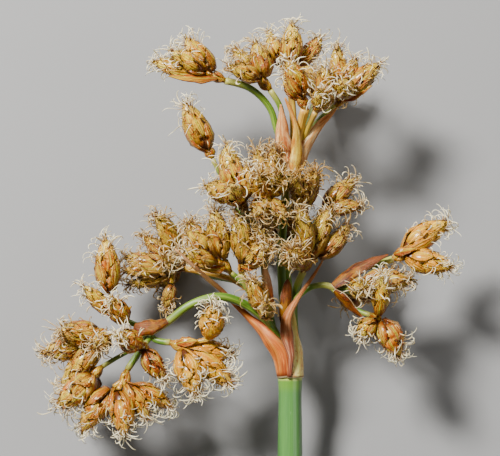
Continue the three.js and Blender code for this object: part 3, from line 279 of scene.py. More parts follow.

# The bunches of spikelets, each on the nearest stem's end. hub is the middle of its knob. A spikelet is its
# base, tip and width, and at times its own warmth and its share of the bunch's fuzz. A wing is a short bract
# below them: its seat, tip and half width. head() says what the other values do.
# A bunch's tan value is partly light brown colour of its filaments and partly painted shade on bunches that
# lie in shade; where negative it is painted light.
HEADS = {
  "head_top_left": dict(hub=[-12.3, 49.9, 2.2], warmth=0.35, fuzz=0.95, full=0.96, count=14,
    spikelets=[[[-13, 50.8, 2.4], [-17.2, 56, 3], 4], [[-14, 50.4, 3.2], [-19.8, 53.8, 3.8], 3.1],
    [[-14.2, 50, 1.6], [-22.7, 52.3, 1.4], 3.2]],
    wings=[[[-12, 49.2, 3.2], [-20.2, 49.8, 3.2], 0.9]]),
  "head_top_inner": dict(hub=[-4.1, 48.8, 1.9], tan=0.3, full=0.95, count=15,
    spikelets=[[[-4.2, 49.3, 2.2], [-5.8, 55.5, 2.6], 3.7], [[-5, 49.6, 0.6], [-9.5, 54.6, 0], 2.8],
    [[-4.8, 49.2, 3.4], [-10.3, 51.3, 4.6], 2.9]]),
  "head_top_crown": dict(hub=[-0.2, 50.9, -0.3], warmth=0.45, fuzz=0.95,
    spikelets=[[[-0.2, 52, 0], [0.2, 58.8, 0], 3.4], [[0.9, 51.8, -1.8], [5.3, 56.7, -3], 2.8, 1.2],
    [[-1.6, 51.8, -1.8], [-3.6, 57.6, -3.4], 2.8]]),
  "head_top_front": dict(hub=[2.2, 45.7, 4.4], fuzz=0.9,
    spikelets=[[[2.2, 46.2, 4.9], [-0.5, 52.3, 6.4], 3.3], [[1.4, 45.8, 3.8], [-0.9, 50.4, 3.1], 2.5]]),
  "head_top_low": dict(hub=[5.2, 45.1, 4.2], tan=0.2,
    spikelets=[[[5.3, 45.6, 4.8], [4.9, 46.8, 9.6], 3.1], [[5.6, 46, 4.6], [5.4, 51.4, 5], 2.9]]),
  "head_top_right": dict(hub=[8.9, 46.2, 0.9], warmth=0.4, fuzz=0.85, tan=0.15,
    spikelets=[[[8.6, 47.2, 1], [7.8, 55.2, 0.8], 2.8], [[9.6, 47.2, 2.2], [8.6, 47.9, 7.2], 3.1],
    [[9.8, 47.2, 0.9], [10.8, 52.8, 1.6], 2.9], [[10, 46.6, 1.2], [15, 52, 2], 3.3]],
    wings=[[[8.6, 45.6, 1.4], [13.6, 48.3, 2.6], 0.8]]),
  "head_top_back": dict(hub=[4.9, 46.8, -12.8], tan=0.5,
    spikelets=[[[5.6, 47.4, -13.4], [9.3, 52, -18.1], 3.5],
    [[4.6, 47.6, -13.6], [2.8, 53.2, -17.6], 3.5], [[5.7, 46.7, -12.6], [11, 48.2, -12.6], 3.3]]),
  "spikelet_lone": dict(hub=[-13.3, 37, -0.1], warmth=0.45, fuzz=0.9, full=1.02,
    spikelets=[[[-13.5, 37.4, 0], [-17.5, 45.3, 0.8], 4]]),
  "head_centre_left": dict(hub=[-8, 28.7, 4.4], warmth=0.6, fuzz=0.9, tan=0.1,
    spikelets=[[[-8.8, 30, 4.4], [-10.5, 38.5, 3.4], 3.9, 0.2],
    [[-9.3, 29.8, 5.6], [-13.9, 31.6, 7], 3.4], [[-8.6, 29.6, 6.2], [-9.6, 31.2, 11.4], 3.5, 1.7, 0.4],
    [[-7.5, 29.4, 5.2], [-7.1, 35.2, 5.6], 2.6]]),
  "head_centre_front": dict(hub=[-3.7, 28.9, 3.6], warmth=0.35, fuzz=1.2, tan=0.5,
    spikelets=[[[-4, 30.4, 2.4], [-5.4, 37.6, 0.8], 3], [[-3, 30.4, 2.2], [-2.6, 38, 2], 2.8],
    [[-4, 30.2, 4.6], [-4.8, 33.4, 9.6], 3.4], [[-4, 28.6, 5], [-5.2, 26.8, 10], 3.5, 0.9, 0.7],
    [[-2.8, 28.4, 4.8], [-1.1, 26.4, 9.4], 2.9, 1.5, 0.6], [[-2.8, 30.3, 4.4], [-1.6, 33.4, 9.2], 3.1]]),
  "head_upper_right": dict(hub=[2.2, 27.6, 1.6], fuzz=1.35, tan=0.65,
    spikelets=[[[2.7, 28.6, 1.6], [4.3, 34.4, 0.8], 3.2], [[1.9, 28.6, 2.6], [1.3, 33.4, 5.2], 3]]),
  "head_far_right": dict(hub=[5.4, 27.3, -2.2], tan=0.3,
    spikelets=[[[6, 27.9, -2.2], [10.8, 32.8, -2.4], 3.1], [[6.1, 27.3, -1.8], [12, 28.4, -1.4], 2.5]]),
  "head_lower_right": dict(hub=[2.8, 18.9, 3.6], warmth=0.35, fuzz=1.15, tan=0.4,
    spikelets=[[[2.2, 19.8, 4], [1.5, 27.8, 7.4], 3.1, 0, 0.8], [[4, 19.9, 3.6], [6.8, 28, 3.4], 3.2],
    [[4.4, 19.4, 2.8], [9.8, 25.2, 1], 2.9, 1.3, 0.7],
    [[2.2, 19.4, 4.8], [-0.1, 20.9, 9.4], 3.3, 0.4, 1.5]],
    wings=[[[2.6, 18, 4.4], [-1.4, 18.6, 5.2], 0.6]]),
  "head_lower_left": dict(hub=[-8, 18.6, 4], fuzz=1.5, tan=0.4,
    spikelets=[[[-7.8, 19.4, 4.6], [-8.7, 27, 6.4], 3.5],
    [[-7.2, 19.4, 5.2], [-3.1, 21.6, 8], 3.3, 0.5, 1.2],
    [[-7.4, 19.6, 4], [-3.9, 25.2, 4.6], 2.9, 0.5, 1.2]],
    wings=[[[-8, 18, 5], [-4.2, 18.8, 6], 0.7]]),
  "head_mid_left": dict(hub=[-11, 18.7, 3.2], warmth=0.35, fuzz=1.5, tan=0.3,
    spikelets=[[[-11.3, 19.6, 3.4], [-12.5, 27.7, 3.6], 3.6], [[-12.2, 19.6, 4], [-17, 25.7, 4.6], 3.6],
    [[-12.2, 19, 5.2], [-18.4, 21, 7.2], 2.9]],
    wings=[[[-10.6, 17.9, 4.4], [-14.6, 17.8, 5], 0.8]]),
  "head_side": dict(hub=[-19.3, 18, -3.4], warmth=0.3, fuzz=1.2, tan=0.4,
    spikelets=[[[-20.6, 18.8, -3.6], [-27.8, 19.8, -4], 3.3, 1.3],
    [[-20.7, 17.3, -2.4], [-28, 17.4, -1.8], 2.5], [[-20.2, 16.6, -3.4], [-27.3, 15.1, -3.6], 2.3],
    [[-20, 19.4, -4.4], [-24.8, 23.2, -5.4], 2.4, 1.7], [[-19.6, 18.4, -2.2], [-20.6, 19.6, 2.2], 2.8],
    [[-18.8, 20.2, -2.6], [-22.3, 27, -0.6], 3.2], [[-19.8, 15.4, -3.2], [-20.8, 11, -3.4], 2.1, 2.4]]),
  "head_side_back": dict(hub=[-18.6, 18.4, -9.6], tan=0.7,
    spikelets=[[[-19.2, 18.6, -10.2], [-24, 19.6, -13.1], 3.5],
    [[-18.6, 18.9, -10.3], [-17, 24, -13.8], 3.5], [[-19, 17.4, -10], [-22.6, 14.8, -11.6], 3]]),
  "head_stem": dict(hub=[-4.4, 10.4, 3.8], fuzz=1.2, tan=0.5,
    spikelets=[[[-4.8, 11, 4.2], [-6.5, 16.3, 5.2], 3.2], [[-4.1, 10.7, 4.5], [-3.8, 12.3, 8.4], 2.6]]),
  "head_left_top": dict(hub=[-28.6, 10.1, 1], fuzz=0.95, full=0.94, count=16,
    spikelets=[[[-30, 13.6, -0.2], [-30.8, 23, -0.6], 4.1], [[-30, 10.6, 1.2], [-34.3, 15, 1.8], 2.8],
    [[-27.2, 9.2, 2.4], [-29.5, 13.1, 6.2], 3.5, 0.7, 1.2]],
    wings=[[[-28, 9.8, 2.2], [-26.2, 11.8, 5], 0.6]]),
  "head_left_joint": dict(hub=[-24.3, 5.2, 5.9], warmth=0.7, fuzz=1.2, count=15,
    spikelets=[[[-24, 4.5, 6.2], [-20.6, -0.3, 6.6], 3.1, 1.2],
    [[-25, 5.5, 6.6], [-28, 7.1, 10.1], 3.6, 1.3]]),
  "head_left_far": dict(hub=[-30.8, 6.8, 1.2], warmth=0.75, fuzz=1.3, tan=0.3, full=1.06,
    spikelets=[[[-31.8, 7, 1.6], [-38.3, 7.6, 3.6], 3.8], [[-32.2, 6.4, 0.4], [-41.2, 3.9, -0.6], 3.9],
    [[-32, 5.8, 1.2], [-38, -2.2, 0.2], 3.4], [[-31.2, 6.2, 2.2], [-31.6, 5.2, 7.4], 3.2]]),
  "head_left_low": dict(hub=[-32.3, 0.6, 1.8],
    warmth=0.7, fuzz=1.05, tan=0.15, full=1.1, count=11,
    spikelets=[[[-32.7, -0.3, 2.8], [-38.2, -4.9, 5.4], 3.9],
    [[-32.5, -0.5, 0.8], [-35.3, -4.7, -2.6], 3.1]]),
  "head_left_bottom": dict(hub=[-27.7, -0.5, 3.2], warmth=1.25, fuzz=1.2, tan=-0.1, count=14,
    spikelets=[[[-29.2, -1.6, 3.2], [-34.4, -8.8, 3.6], 4], [[-28.4, -2, 4.4], [-27.5, -9.4, 6.2], 3.8],
    [[-26.8, -1.8, 3.6], [-23.5, -7, 4.2], 3], [[-26.2, -1.4, 2.8], [-19.7, -5, 2.2], 3]]),
  "head_left_near": dict(hub=[-18.2, 5.2, 5.4],
    warmth=1.0, fuzz=1.42, tan=-0.3, full=1.04, count=14,
    spikelets=[[[-17.8, 4.4, 6.2], [-15.5, -2.7, 8], 4], [[-17, 4.6, 5.2], [-9.6, -1.3, 5.4], 4],
    [[-16.4, 5.2, 4.4], [-9.6, 3.9, 3], 3.4], [[-13.4, 6.4, 6], [-12.8, 12.2, 7.2], 3.6, 2.0]],
    wings=[[[-19, 5.8, 6], [-15.2, 6.2, 6.8], 1]]),
  "head_right_tip": dict(hub=[18.3, 20.3, 2.4],
    warmth=0.6, fuzz=1.1, tan=-0.25, full=1.03, count=16,
    spikelets=[[[18.9, 21.6, 2.2], [26.2, 25.7, 1.8], 3.8], [[19.2, 19.9, 3], [26.8, 18.2, 3.6], 3.7]],
    wings=[[[16.6, 20.4, 3.4], [20.8, 21.3, 4.2], 0.8]]),
  "head_right_near": dict(hub=[11, 14.9, 3.6], fuzz=1.5, tan=0.3,
    spikelets=[[[12, 15.2, 3.4], [20, 16, 3], 3.9], [[11.4, 14.9, 4.4], [12.2, 14.9, 8.8], 3.4]]),
  "head_right_low": dict(hub=[14.4, 9.9, 5.6], warmth=0.55, fuzz=1.2, full=1.02, count=15,
    spikelets=[[[14.9, 9.6, 5.6], [17.9, 3.6, 5.8], 3.8], [[14, 9.4, 5.8], [11.1, 7, 7], 3],
    [[14.4, 10.4, 6.4], [14.9, 17.2, 8.6], 2.7, 0.1]]),
  "head_right_back": dict(hub=[11.1, 13.8, -2.8], tan=0.5,
    spikelets=[[[11.4, 13.8, -3.4], [15.2, 13.6, -7.6], 3.4], [[11, 13.6, -3.6], [9.6, 12, -8.2], 3.2]]),
  "head_back": dict(hub=[-1.2, 23, -7], tan=0.7,
    spikelets=[[[-1.8, 24, -7.2], [-5.4, 30, -9.8], 3.5], [[-0.6, 24, -7.4], [2.9, 29.6, -9.6], 3.5],
    [[-2, 22.8, -7.6], [-6, 21, -10.8], 3.4], [[-0.4, 22.8, -7.8], [2.2, 22, -11.4], 3.4]]),
}


def in_frame(points):
    """Leans the plant's own frame back about x by LEAN, scales it to metres and moves it so that the stem's
    middle line lies on that of its solid."""
    low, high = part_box("culm")
    cosine, sine = math.cos(LEAN), math.sin(LEAN)
    x, y, z = np.moveaxis(np.asarray(points, float), -1, 0)
    across = x + (low.x + high.x) / 2 / MM
    lengthwise = y * cosine - z * sine + high.y / MM - CULM_RADIUS * sine
    height = y * sine + z * cosine + high.z / MM - CULM_RADIUS * cosine
    return np.stack([across, lengthwise, height], axis=-1) * MM


def pressed(values, wall, ease):
    """Values that come within ease of a wall, from above, fall off as an exponential and never pass it."""
    room = values - wall
    return np.where(room < ease, wall + ease * np.exp((np.minimum(room, ease) - ease) / ease), values)


def kept_in(points):
    """Presses the points softly, so that none passes through the surface that the plant lies on, or out of
    the room round the box of the solids."""
    low, high = np.array(CAD_BOX)
    spare = BOX_ROOM * (high - low)
    lowest = low - spare
    lowest[2] = 0
    points = pressed(points, lowest, np.array([BOX_EASE, BOX_EASE, SURFACE_EASE]) * MM)
    return -pressed(-points, -(high + spare), BOX_EASE * MM)


def unit(vectors):
    """Each vector divided by its length."""
    return vectors / np.maximum(np.linalg.norm(vectors, axis=-1, keepdims=True), 1e-9)


def square_to(forward):
    """Two directions square to forward, or to each row of it, so that the first, the second and forward are
    right-handed. The first is also square to the axis that forward is farthest from."""
    hint = np.eye(3)[np.argmin(np.abs(np.atleast_2d(forward).mean(axis=0)))]
    first = unit(np.cross(hint, forward))
    return first, np.cross(forward, first)


def circle(count):
    """Evenly spaced angles, once round."""
    return np.linspace(0, 2 * np.pi, count, endpoint=False)


def there_and_back(front):
    """The places across a thin blade, over its front from margin to margin and home along its back, and a
    value that is 0 on the front and 1 on the back."""
    front = np.asarray(front, float)
    places = np.concatenate([front, front[-2:0:-1]])
    return places, (np.arange(len(places)) >= len(front)) * 1.0


def along(values, share):
    """The value at a share, from 0 to 1, along a list of evenly spaced values."""
    return np.interp(share, np.linspace(0, 1, len(values)), values)


def smooth_line(path, rows):
    """A line through the path's points: on each span a cubic whose end slopes come from the neighbours,
    weighted by the square roots of the distances to them, and then rows points spaced evenly along it."""
    points = np.asarray(path, float)
    points = np.vstack([2 * points[0] - points[1], points, 2 * points[-1] - points[-2]])
    gaps = np.sqrt(np.linalg.norm(np.diff(points, axis=0), axis=1))[:, None]
    before, own, later = gaps[:-2], gaps[1:-1], gaps[2:]
    p0, p1, p2, p3 = points[:-3], points[1:-2], points[2:-1], points[3:]
    leaving = ((p1 - p0) / before - (p2 - p0) / (before + own) + (p2 - p1) / own) * own
    arriving = ((p2 - p1) / own - (p3 - p1) / (own + later) + (p3 - p2) / later) * own
    t = np.linspace(0, 1, SPAN_STEPS, endpoint=False)[None, :, None]
    spans = (
        p1[:, None] * (1 - 3 * t**2 + 2 * t**3)
        + leaving[:, None] * (t - 2 * t**2 + t**3)
        + p2[:, None] * (3 * t**2 - 2 * t**3)
        + arriving[:, None] * (t**3 - t**2)
    )
    dense = np.vstack([spans.reshape(-1, 3), points[-2]])
    distance = np.append(0, np.cumsum(np.linalg.norm(np.diff(dense, axis=0), axis=1)))
    even = np.linspace(0, distance[-1], rows)
    return np.stack([np.interp(even, distance, dense[:, axis]) for axis in range(3)], axis=1)


def skin(rings, **marks):
    """Closed skins from rings: rings[k, n, m] is point m of ring n of skin k. Neighbouring rings are joined
    by four-sided faces and each end is closed by triangles to the middle of its ring. Marks are values for
    each point, which spread over the rings and are kept for the materials."""
    count, rows, around = rings.shape[:3]
    size = rows * around + 2

    def with_ends(values):
        """The values of all points, with each skin's two end points after its rings."""
        flat = values.reshape(count, rows * around, *values.shape[3:])
        ends = values[:, [0, -1]].mean(axis=2)
        return np.concatenate([flat, ends], axis=1).reshape(count * size, *values.shape[3:])

    row, column = np.mgrid[0 : rows - 1, 0:around]
    corner = row * around + column
    beside = row * around + (column + 1) % around
    quads = np.stack([corner, beside, beside + around, corner + around], axis=-1).reshape(-1, 4)
    edge = np.arange(around)
    following = (edge + 1) % around
    last = (rows - 1) * around
    foot = np.stack([following, edge, np.full(around, size - 2)], axis=-1)
    tip = np.stack([last + edge, last + following, np.full(around, size - 1)], axis=-1)
    start = (np.arange(count) * size)[:, None, None]
    return {
        "points": with_ends(rings),
        "quads": (quads + start).reshape(-1, 4),
        "triangles": (np.vstack([foot, tip]) + start).reshape(-1, 3),
        "marks": {name: with_ends(np.broadcast_to(value, rings.shape[:3])) for name, value in marks.items()},
    }


def stem_skin(path, radii, tone, pale=0.0):
    """A round stem: circles square to a smooth line, whose radius follows radii along it and swells a little
    on five low ribs, as a cosine of five times the angle."""
    length = np.linalg.norm(np.diff(np.asarray(path, float), axis=0), axis=1).sum()
    rows = max(6, int(length / STEM_STEP))
    line = smooth_line(path, rows)
    side, up = square_to(unit(np.gradient(line, axis=0)))
    run = np.linspace(0, 1, rows)[:, None]
    angle = circle(STEM_SIDES)
    radius = along(radii, run) * (1 + STEM_RIBS * np.cos(5 * angle))
    ring = np.cos(angle)[:, None] * side[:, None] + np.sin(angle)[:, None] * up[:, None]
    rings = line[:, None] + ring * radius[..., None]
    marks = {"run": run, "reach": run * length, "tone": tone, "pale": pale}
    return skin(rings[None], across=np.cos(angle), beside=np.sin(angle), **marks)


def leaf_skin(path, half, face, curl, rng, tone=0.5):
    """A thin leaf: across it runs an arc that bends back by curl on each side of its smooth middle line, as
    wide as half says at each share of its length. It faces one way, or turns evenly from a first to a last
    one. Its two sides are a thickness apart that falls off to the margins, with low ribs, as a cosine across
    it, and its margins waver by a slow random sum of sines."""
    line = smooth_line(path, LEAF_ROWS)
    run = np.linspace(0, 1, LEAF_ROWS)[:, None]
    ways = np.atleast_2d(np.asarray(face, float))
    forward = unit(np.gradient(line, axis=0))
    side = unit(np.cross(forward, ways[0] + run * (ways[-1] - ways[0])))
    outward = np.cross(side, forward)
    u, behind = there_and_back(np.linspace(-1, 1, LEAF_ACROSS))
    phase = rng.uniform(0, 2 * np.pi, 4)
    slow, quick = LEAF_WAVER
    waver = slow * np.sin(9 * run + phase[0]) + quick * np.sin(23 * run + phase[1] + u)
    width = along(half, run) * (1 + waver)
    bend = width / curl
    ribs = LEAF_RIBS * np.cos(11 * u) * (1 - u**2)
    thickness = LEAF_THICKNESS * (1 - 0.75 * u**2) * (0.35 + 0.65 * np.minimum(1, width / 0.8))
    ripple = LEAF_RIPPLE * width * np.sin(17 * run + 2.4 * u + phase[2]) * np.abs(u)
    radius = bend + (0.5 - behind) * thickness + ribs + ripple
    rings = (
        line[:, None]
        + side[:, None] * (np.sin(u * curl) * radius)[..., None]
        + outward[:, None] * (np.cos(u * curl) * radius - bend)[..., None]
    )
    return skin(rings[None], across=u, run=run, tone=tone)


class Spikelet:
    """One egg-shaped spikelet: its axis from base to tip, bowed a little to one side, and the directions
    square to it."""

    def __init__(self, base, tip, width, rng):
        self.base = np.asarray(base, float)
        axis = np.asarray(tip, float) - self.base
        self.length = np.linalg.norm(axis)
        self.width = width
        self.forward = axis / self.length
        self.first, self.second = square_to(self.forward)
        angle = rng.uniform(0, 2 * np.pi)
        self.bow = (np.cos(angle) * self.first + np.sin(angle) * self.second) * SPIKELET_BOW * self.length

    def radius(self, share):
        """How far the egg's outline is from the axis, at a share of its length."""
        return self.width / 2 * along(SPIKELET_OUTLINE, share)

    def outward(self, angle):
        """The way out from the axis at an angle round it."""
        return np.cos(angle)[..., None] * self.first + np.sin(angle)[..., None] * self.second

    def place(self, share, angle, distance):
        """The point at a share of the length, an angle round the axis and a distance from it. The axis is a
        line that bows aside as a parabola."""
        bow = 4 * share * (1 - share)
        line = self.base + share[..., None] * self.length * self.forward + bow[..., None] * self.bow
        return line + self.outward(angle) * distance[..., None]


def scale_skin(spikelet, rng, warmth, dull, count, half=SCALE_HALF, length=SCALE_LENGTH, reach=SCALE_REACH):
    """Overlapping scales: scale k stands at k golden angles round the axis and a little further up each time.
    Across it runs an arc round the axis, as wide as SCALE_WIDTHS says, and along it the distance from the
    axis rises from the core to the egg's outline and then lifts off it, so each tip covers the feet of those
    above. The middle line is raised to a keel, and the margins are ragged by small random shifts."""
    k = np.arange(count)[:, None, None]
    share = (k + 0.5) / count
    v = np.asarray(SCALE_ROWS)[:, None]
    u, behind = there_and_back(SCALE_ACROSS)
    aside = np.abs(u)
    draw = rng.uniform(-1, 1, (5, count, 1, 1))
    shift, longer, wider, turn, raised = draw * np.reshape(SCALE_SPREAD, (5, 1, 1, 1))
    start = SCALE_START + (reach - SCALE_START) * share**0.92 + shift
    shorter, narrower = SCALE_TAPER
    at = start + v * length * (1 - shorter * share) * (1 + longer)
    wide = spikelet.width * half * (1 - narrower * share) * (1 + wider) * np.asarray(SCALE_WIDTHS)[:, None]
    outline = spikelet.radius(at)
    core = np.maximum(outline, 0.3 * spikelet.width / 2)
    angle = k * GOLDEN_ANGLE + turn + u * wide / core
    rise = np.clip(v / 0.55, 0, 1)
    rise = rise**2 * (3 - 2 * rise)
    lift = spikelet.width * (0.012 + (0.02 + 0.03 * share) * (1 + raised) * v**4) * (1 - share**3)
    keel = SCALE_KEEL * spikelet.width * (1 - aside) ** 2 * np.sin(np.pi * np.minimum(v, 1))
    wrinkles = SCALE_WRINKLES * spikelet.width * rng.normal(0, 1, angle.shape)
    envelope = outline * (SCALE_FOOT + (1 - SCALE_FOOT) * rise)
    thickness = SCALE_THICKNESS * (1 - 0.5 * aside)
    distance = envelope + lift * rise + keel + wrinkles - behind * thickness
    ragged = rng.uniform(-1, 1, angle.shape) * (aside == 1) * (v > 0.3)
    lengthwise, sideways = SCALE_RAGS
    rings = spikelet.place(at + lengthwise * ragged, angle + sideways * ragged, distance)
    tone = rng.uniform(0, 1, (count, 1, 1))
    return skin(rings, across=u, run=v, tone=tone, up=share, warmth=warmth, dull=dull, depth=0.0)


def core_skin(spikelet, warmth, dull):
    """The core that shows between the scales, dark brown as painted shade, most of all towards the spikelet's
    foot: circles round the axis, a share of the egg's outline.
    """
    share, angle = np.broadcast_arrays(np.linspace(0.06, 1.0, 9)[None, :, None], circle(10))
    rings = spikelet.place(share, angle, CORE_WIDTH * spikelet.radius(share))
    # painted shade: full at the spikelet's foot, fading towards its tip
    depth = 1 - 0.8 * share**3
    return skin(rings, across=0.5, run=0.2, tone=0.3, up=share, warmth=warmth, dull=dull, depth=depth)


def filament_skin(spikelet, rng, count, shares, lean, hook, lengths, tan):
    """Filaments, rooted under the scales between two shares of the spikelet's length, and more of them
    towards its tip. Each leaves between the way out and the way to the tip, by the angle lean, and turns
    more and more as it goes, up to hook, with a slow wave, in the plane of its heading and its bend. It is a
    ribbon with four edges, twisted about its line, narrow at the root and at the end."""
    (
        height, around, tilting, straying, side, sidling,
        hooking, waving, phase, growing, twisting, broadening,
    ) = rng.uniform(0, 1, (12, count, 1))
    low, high = shares
    share = (low + (high - low) * height**0.45)[:, 0]
    angle = np.arange(count) * GOLDEN_ANGLE + 1.4 * (around[:, 0] - 0.5)
    outward = spikelet.outward(angle)
    beside = np.cross(spikelet.forward, outward)
    roots = spikelet.place(share, angle, 0.9 * spikelet.radius(share))
    tilt = np.radians(lean + 36 * share[:, None] ** 2 + 40 * (tilting - 0.5))
    ahead = np.cos(tilt) * outward + np.sin(tilt) * spikelet.forward
    heading = unit(ahead + 1.5 * (straying - 0.5) * beside)
    inward = -np.sin(tilt) * outward + np.cos(tilt) * spikelet.forward
    bend = np.where(side < HOOKED_OUT, -1.0, 1.0) * inward + 4.4 * (sidling - 0.5) * beside
    bend = unit(bend - (bend * heading).sum(axis=1, keepdims=True) * heading)
    flat = np.cross(heading, bend)
    s = np.linspace(0, 1, FILAMENT_ROWS)
    wave = (0.1 + 0.22 * waving) * np.sin(2 * np.pi * (FILAMENT_WAVES * s + phase))
    bent = (0.9 + hook * hooking) * s**1.5 + wave
    bent = (bent - bent[:, :1])[..., None]
    direction = np.cos(bent) * heading[:, None] + np.sin(bent) * bend[:, None]
    crosswise = -np.sin(bent) * heading[:, None] + np.cos(bent) * bend[:, None]
    shortest, longest = lengths
    length = (shortest + (longest - shortest) * growing)[..., None]
    steps = (direction[:, 1:] + direction[:, :-1]) / 2 * length / (FILAMENT_ROWS - 1)
    line = roots[:, None] + np.concatenate([np.zeros((count, 1, 3)), np.cumsum(steps, axis=1)], axis=1)
    twist = (2 * np.pi * twisting + FILAMENT_TWIST * s)[..., None]
    wide = np.cos(twist) * flat[:, None] + np.sin(twist) * crosswise
    thin = np.cross(direction, wide)
    narrow, broad = FILAMENT_WIDTH
    half = (along(FILAMENT_WIDTHS, s) * (narrow + (broad - narrow) * broadening) / 2)[..., None]
    edges = [wide * half, thin * np.minimum(half, FILAMENT_THICKNESS / 2)]
    rings = line[:, :, None] + np.stack([edges[0], edges[1], -edges[0], -edges[1]], axis=2)
    return skin(rings, run=s[:, None], tone=broadening[..., None], tan=tan)


def fringe_skins(spikelet, rng, fuzz, tan):
    """A crown of filaments that leads on past a spikelet's tip, the free ones of its outer part, hooked
    outwards, and shorter ones that lie near its scales."""
    size = 0.55 + 0.45 * spikelet.length / USUAL_LENGTH
    crown = int(CROWN_FILAMENTS * min(fuzz, 1.1) * size)
    free = int(FREE_FILAMENTS * fuzz * size)
    lying = int(LYING_FILAMENTS * max(0.0, fuzz - 0.65) ** 2 * size)
    long = 0.45 + 0.55 * spikelet.width / WIDE_SPIKELET
    full = np.array(FILAMENT_LENGTH) * long
    return [
        filament_skin(spikelet, rng, count, shares, lean, hook, full * part, tan + more_tan_and_shade)
        for count, (shares, lean, hook, part, more_tan_and_shade) in zip([crown, free, lying], FRINGE)
    ]


def colour(red, green, blue):
    """A screen colour, 0 to 255, as the renderer's linear colour."""
    values = [channel / 255 for channel in (red, green, blue)]
    return [v / 12.92 if v <= 0.04045 else ((v + 0.055) / 1.055) ** 2.4 for v in values] + [1.0]


class Nodes:
    """The shader nodes of a material or a group. What goes into them is a plain value, a colour of 0 to 255
    as a tuple, or another node's output."""

    def __init__(self, tree):
        self.tree = tree

    def feed(self, socket, value):
        """Joins a socket to another node's output, or sets its own value."""
        if isinstance(value, bpy.types.NodeSocket):
            self.tree.links.new(value, socket)
        else:
            socket.default_value = colour(*value) if isinstance(value, tuple) else value

    def add(self, kind, *values, **settings):
        """A new node of a kind, with its settings, and with values in its first sockets."""
        node = self.tree.nodes.new("ShaderNode" + kind)
        for name, value in settings.items():
            setattr(node, name, value)
        for socket, value in zip(node.inputs, values):
            self.feed(socket, value)
        return node

    def sums(self, operation, *values):
        """One arithmetic step on up to three values."""
        return self.add("Math", *values, operation=operation).outputs[0]

    def times(self, value, factor, plus=0.0):
        """A value times a factor, and something more."""
        return self.sums("MULTIPLY_ADD", value, factor, plus)

    def rise(self, value, low, high, bottom=0.0, top=1.0):
        """A smooth rise from bottom to top while the value goes from low to high."""
        ends = (low, high, bottom, top)
        return self.add("MapRange", value, *ends, interpolation_type="SMOOTHSTEP").outputs[0]

    def point(self, x, y, z):
        """A point made of three values."""
        return self.add("CombineXYZ", x, y, z).outputs[0]

    def mixed(self, share, first, second):
        """Two colours mixed by a share."""
        node = self.add("Mix", share, data_type="RGBA")
        self.feed(node.inputs[6], first)
        self.feed(node.inputs[7], second)
        return node.outputs[2]

    def ramp(self, value, low, high, first, second):
        """A first colour that turns into a second while the value goes from low to high."""
        return self.mixed(self.rise(value, low, high), first, second)

    def coated(self, base, *coats):
        """A colour under coats of others. A coat is [value, low, high, share, colour], and covers nothing at
        first and its share at last while the value goes from low to high."""
        for value, low, high, share, tint in coats:
            base = self.mixed(self.rise(value, low, high, 0, share), base, tint)
        return base

    def noise(self, place, scale, detail, roughness=0.55):
        """Cloudy values at a place."""
        node = self.add("TexNoise", place)
        for name, value in {"Scale": scale, "Detail": detail, "Roughness": roughness}.items():
            node.inputs[name].default_value = value
        return node.outputs["Fac"]


class Finish(Nodes):
    """A material in the making. The plain values of its Principled shader are set on its own sockets."""

    def __init__(self, name, roughness, soft=0.0, specular=0.5, coat=0.0, coat_roughness=0.03):
        self.material = bpy.data.materials.new(name)
        self.material.use_nodes = True
        super().__init__(self.material.node_tree)
        self.shader = self.tree.nodes["Principled BSDF"].inputs
        plain = {
            "Roughness": roughness,
            "Specular IOR Level": specular,
            "Coat Weight": coat,
            "Coat Roughness": coat_roughness,
            "Subsurface Weight": soft,
            "Subsurface Radius": [0.0006, 0.0004, 0.0002],
            "Subsurface Scale": 1.0,
        }
        for socket, value in plain.items():
            self.shader[socket].default_value = value

    def marks(self, names):
        """Values that the piece's own points carry, by their names."""
        return [self.add("Attribute", attribute_name=name).outputs["Fac"] for name in names.split()]

    def fibre(self, group, place, fineness):
        """The streak, patch and fleck values of plant fibre at a place."""
        node = self.add("Group", node_tree=group)
        self.feed(node.inputs["Place"], place)
        node.inputs["Fineness"].default_value = fineness
        return [node.outputs[name] for name in ("Streak", "Patch", "Fleck")]

    def raised(self, height, strength, distance=0.0001):
        """Raises the surface by a height, for the shader's normal."""
        bump = self.add("Bump")
        bump.inputs["Strength"].default_value = strength
        bump.inputs["Distance"].default_value = distance
        self.feed(bump.inputs["Height"], height)
        self.feed(self.shader["Normal"], bump.outputs[0])

    def made(self, base):
        """The material, with its base colour."""
        self.feed(self.shader["Base Color"], base)
        return self.material


def fibre_group():
    """Plant fibre: fine streaks drawn out along the second axis of a place, broad soft patches, and small
    flecks."""
    group = bpy.data.node_groups.new("plant_fibre", "ShaderNodeTree")
    group.interface.new_socket("Place", in_out="INPUT", socket_type="NodeSocketVector")
    group.interface.new_socket("Fineness", in_out="INPUT", socket_type="NodeSocketFloat")
    for name in ("Streak", "Patch", "Fleck"):
        group.interface.new_socket(name, in_out="OUTPUT", socket_type="NodeSocketFloat")
    place, fineness = group.nodes.new("NodeGroupInput").outputs[:2]
    ends = group.nodes.new("NodeGroupOutput").inputs
    nodes = Nodes(group)
    drawn_out = nodes.add("VectorMath", place, nodes.point(fineness, 0.7, fineness), operation="MULTIPLY")
    nodes.feed(ends["Streak"], nodes.noise(drawn_out.outputs[0], 1.0, 4.0))
    nodes.feed(ends["Patch"], nodes.noise(place, 0.9, 2.0))
    nodes.feed(ends["Fleck"], nodes.noise(place, 3.4, 2.0, 0.7))
    return group


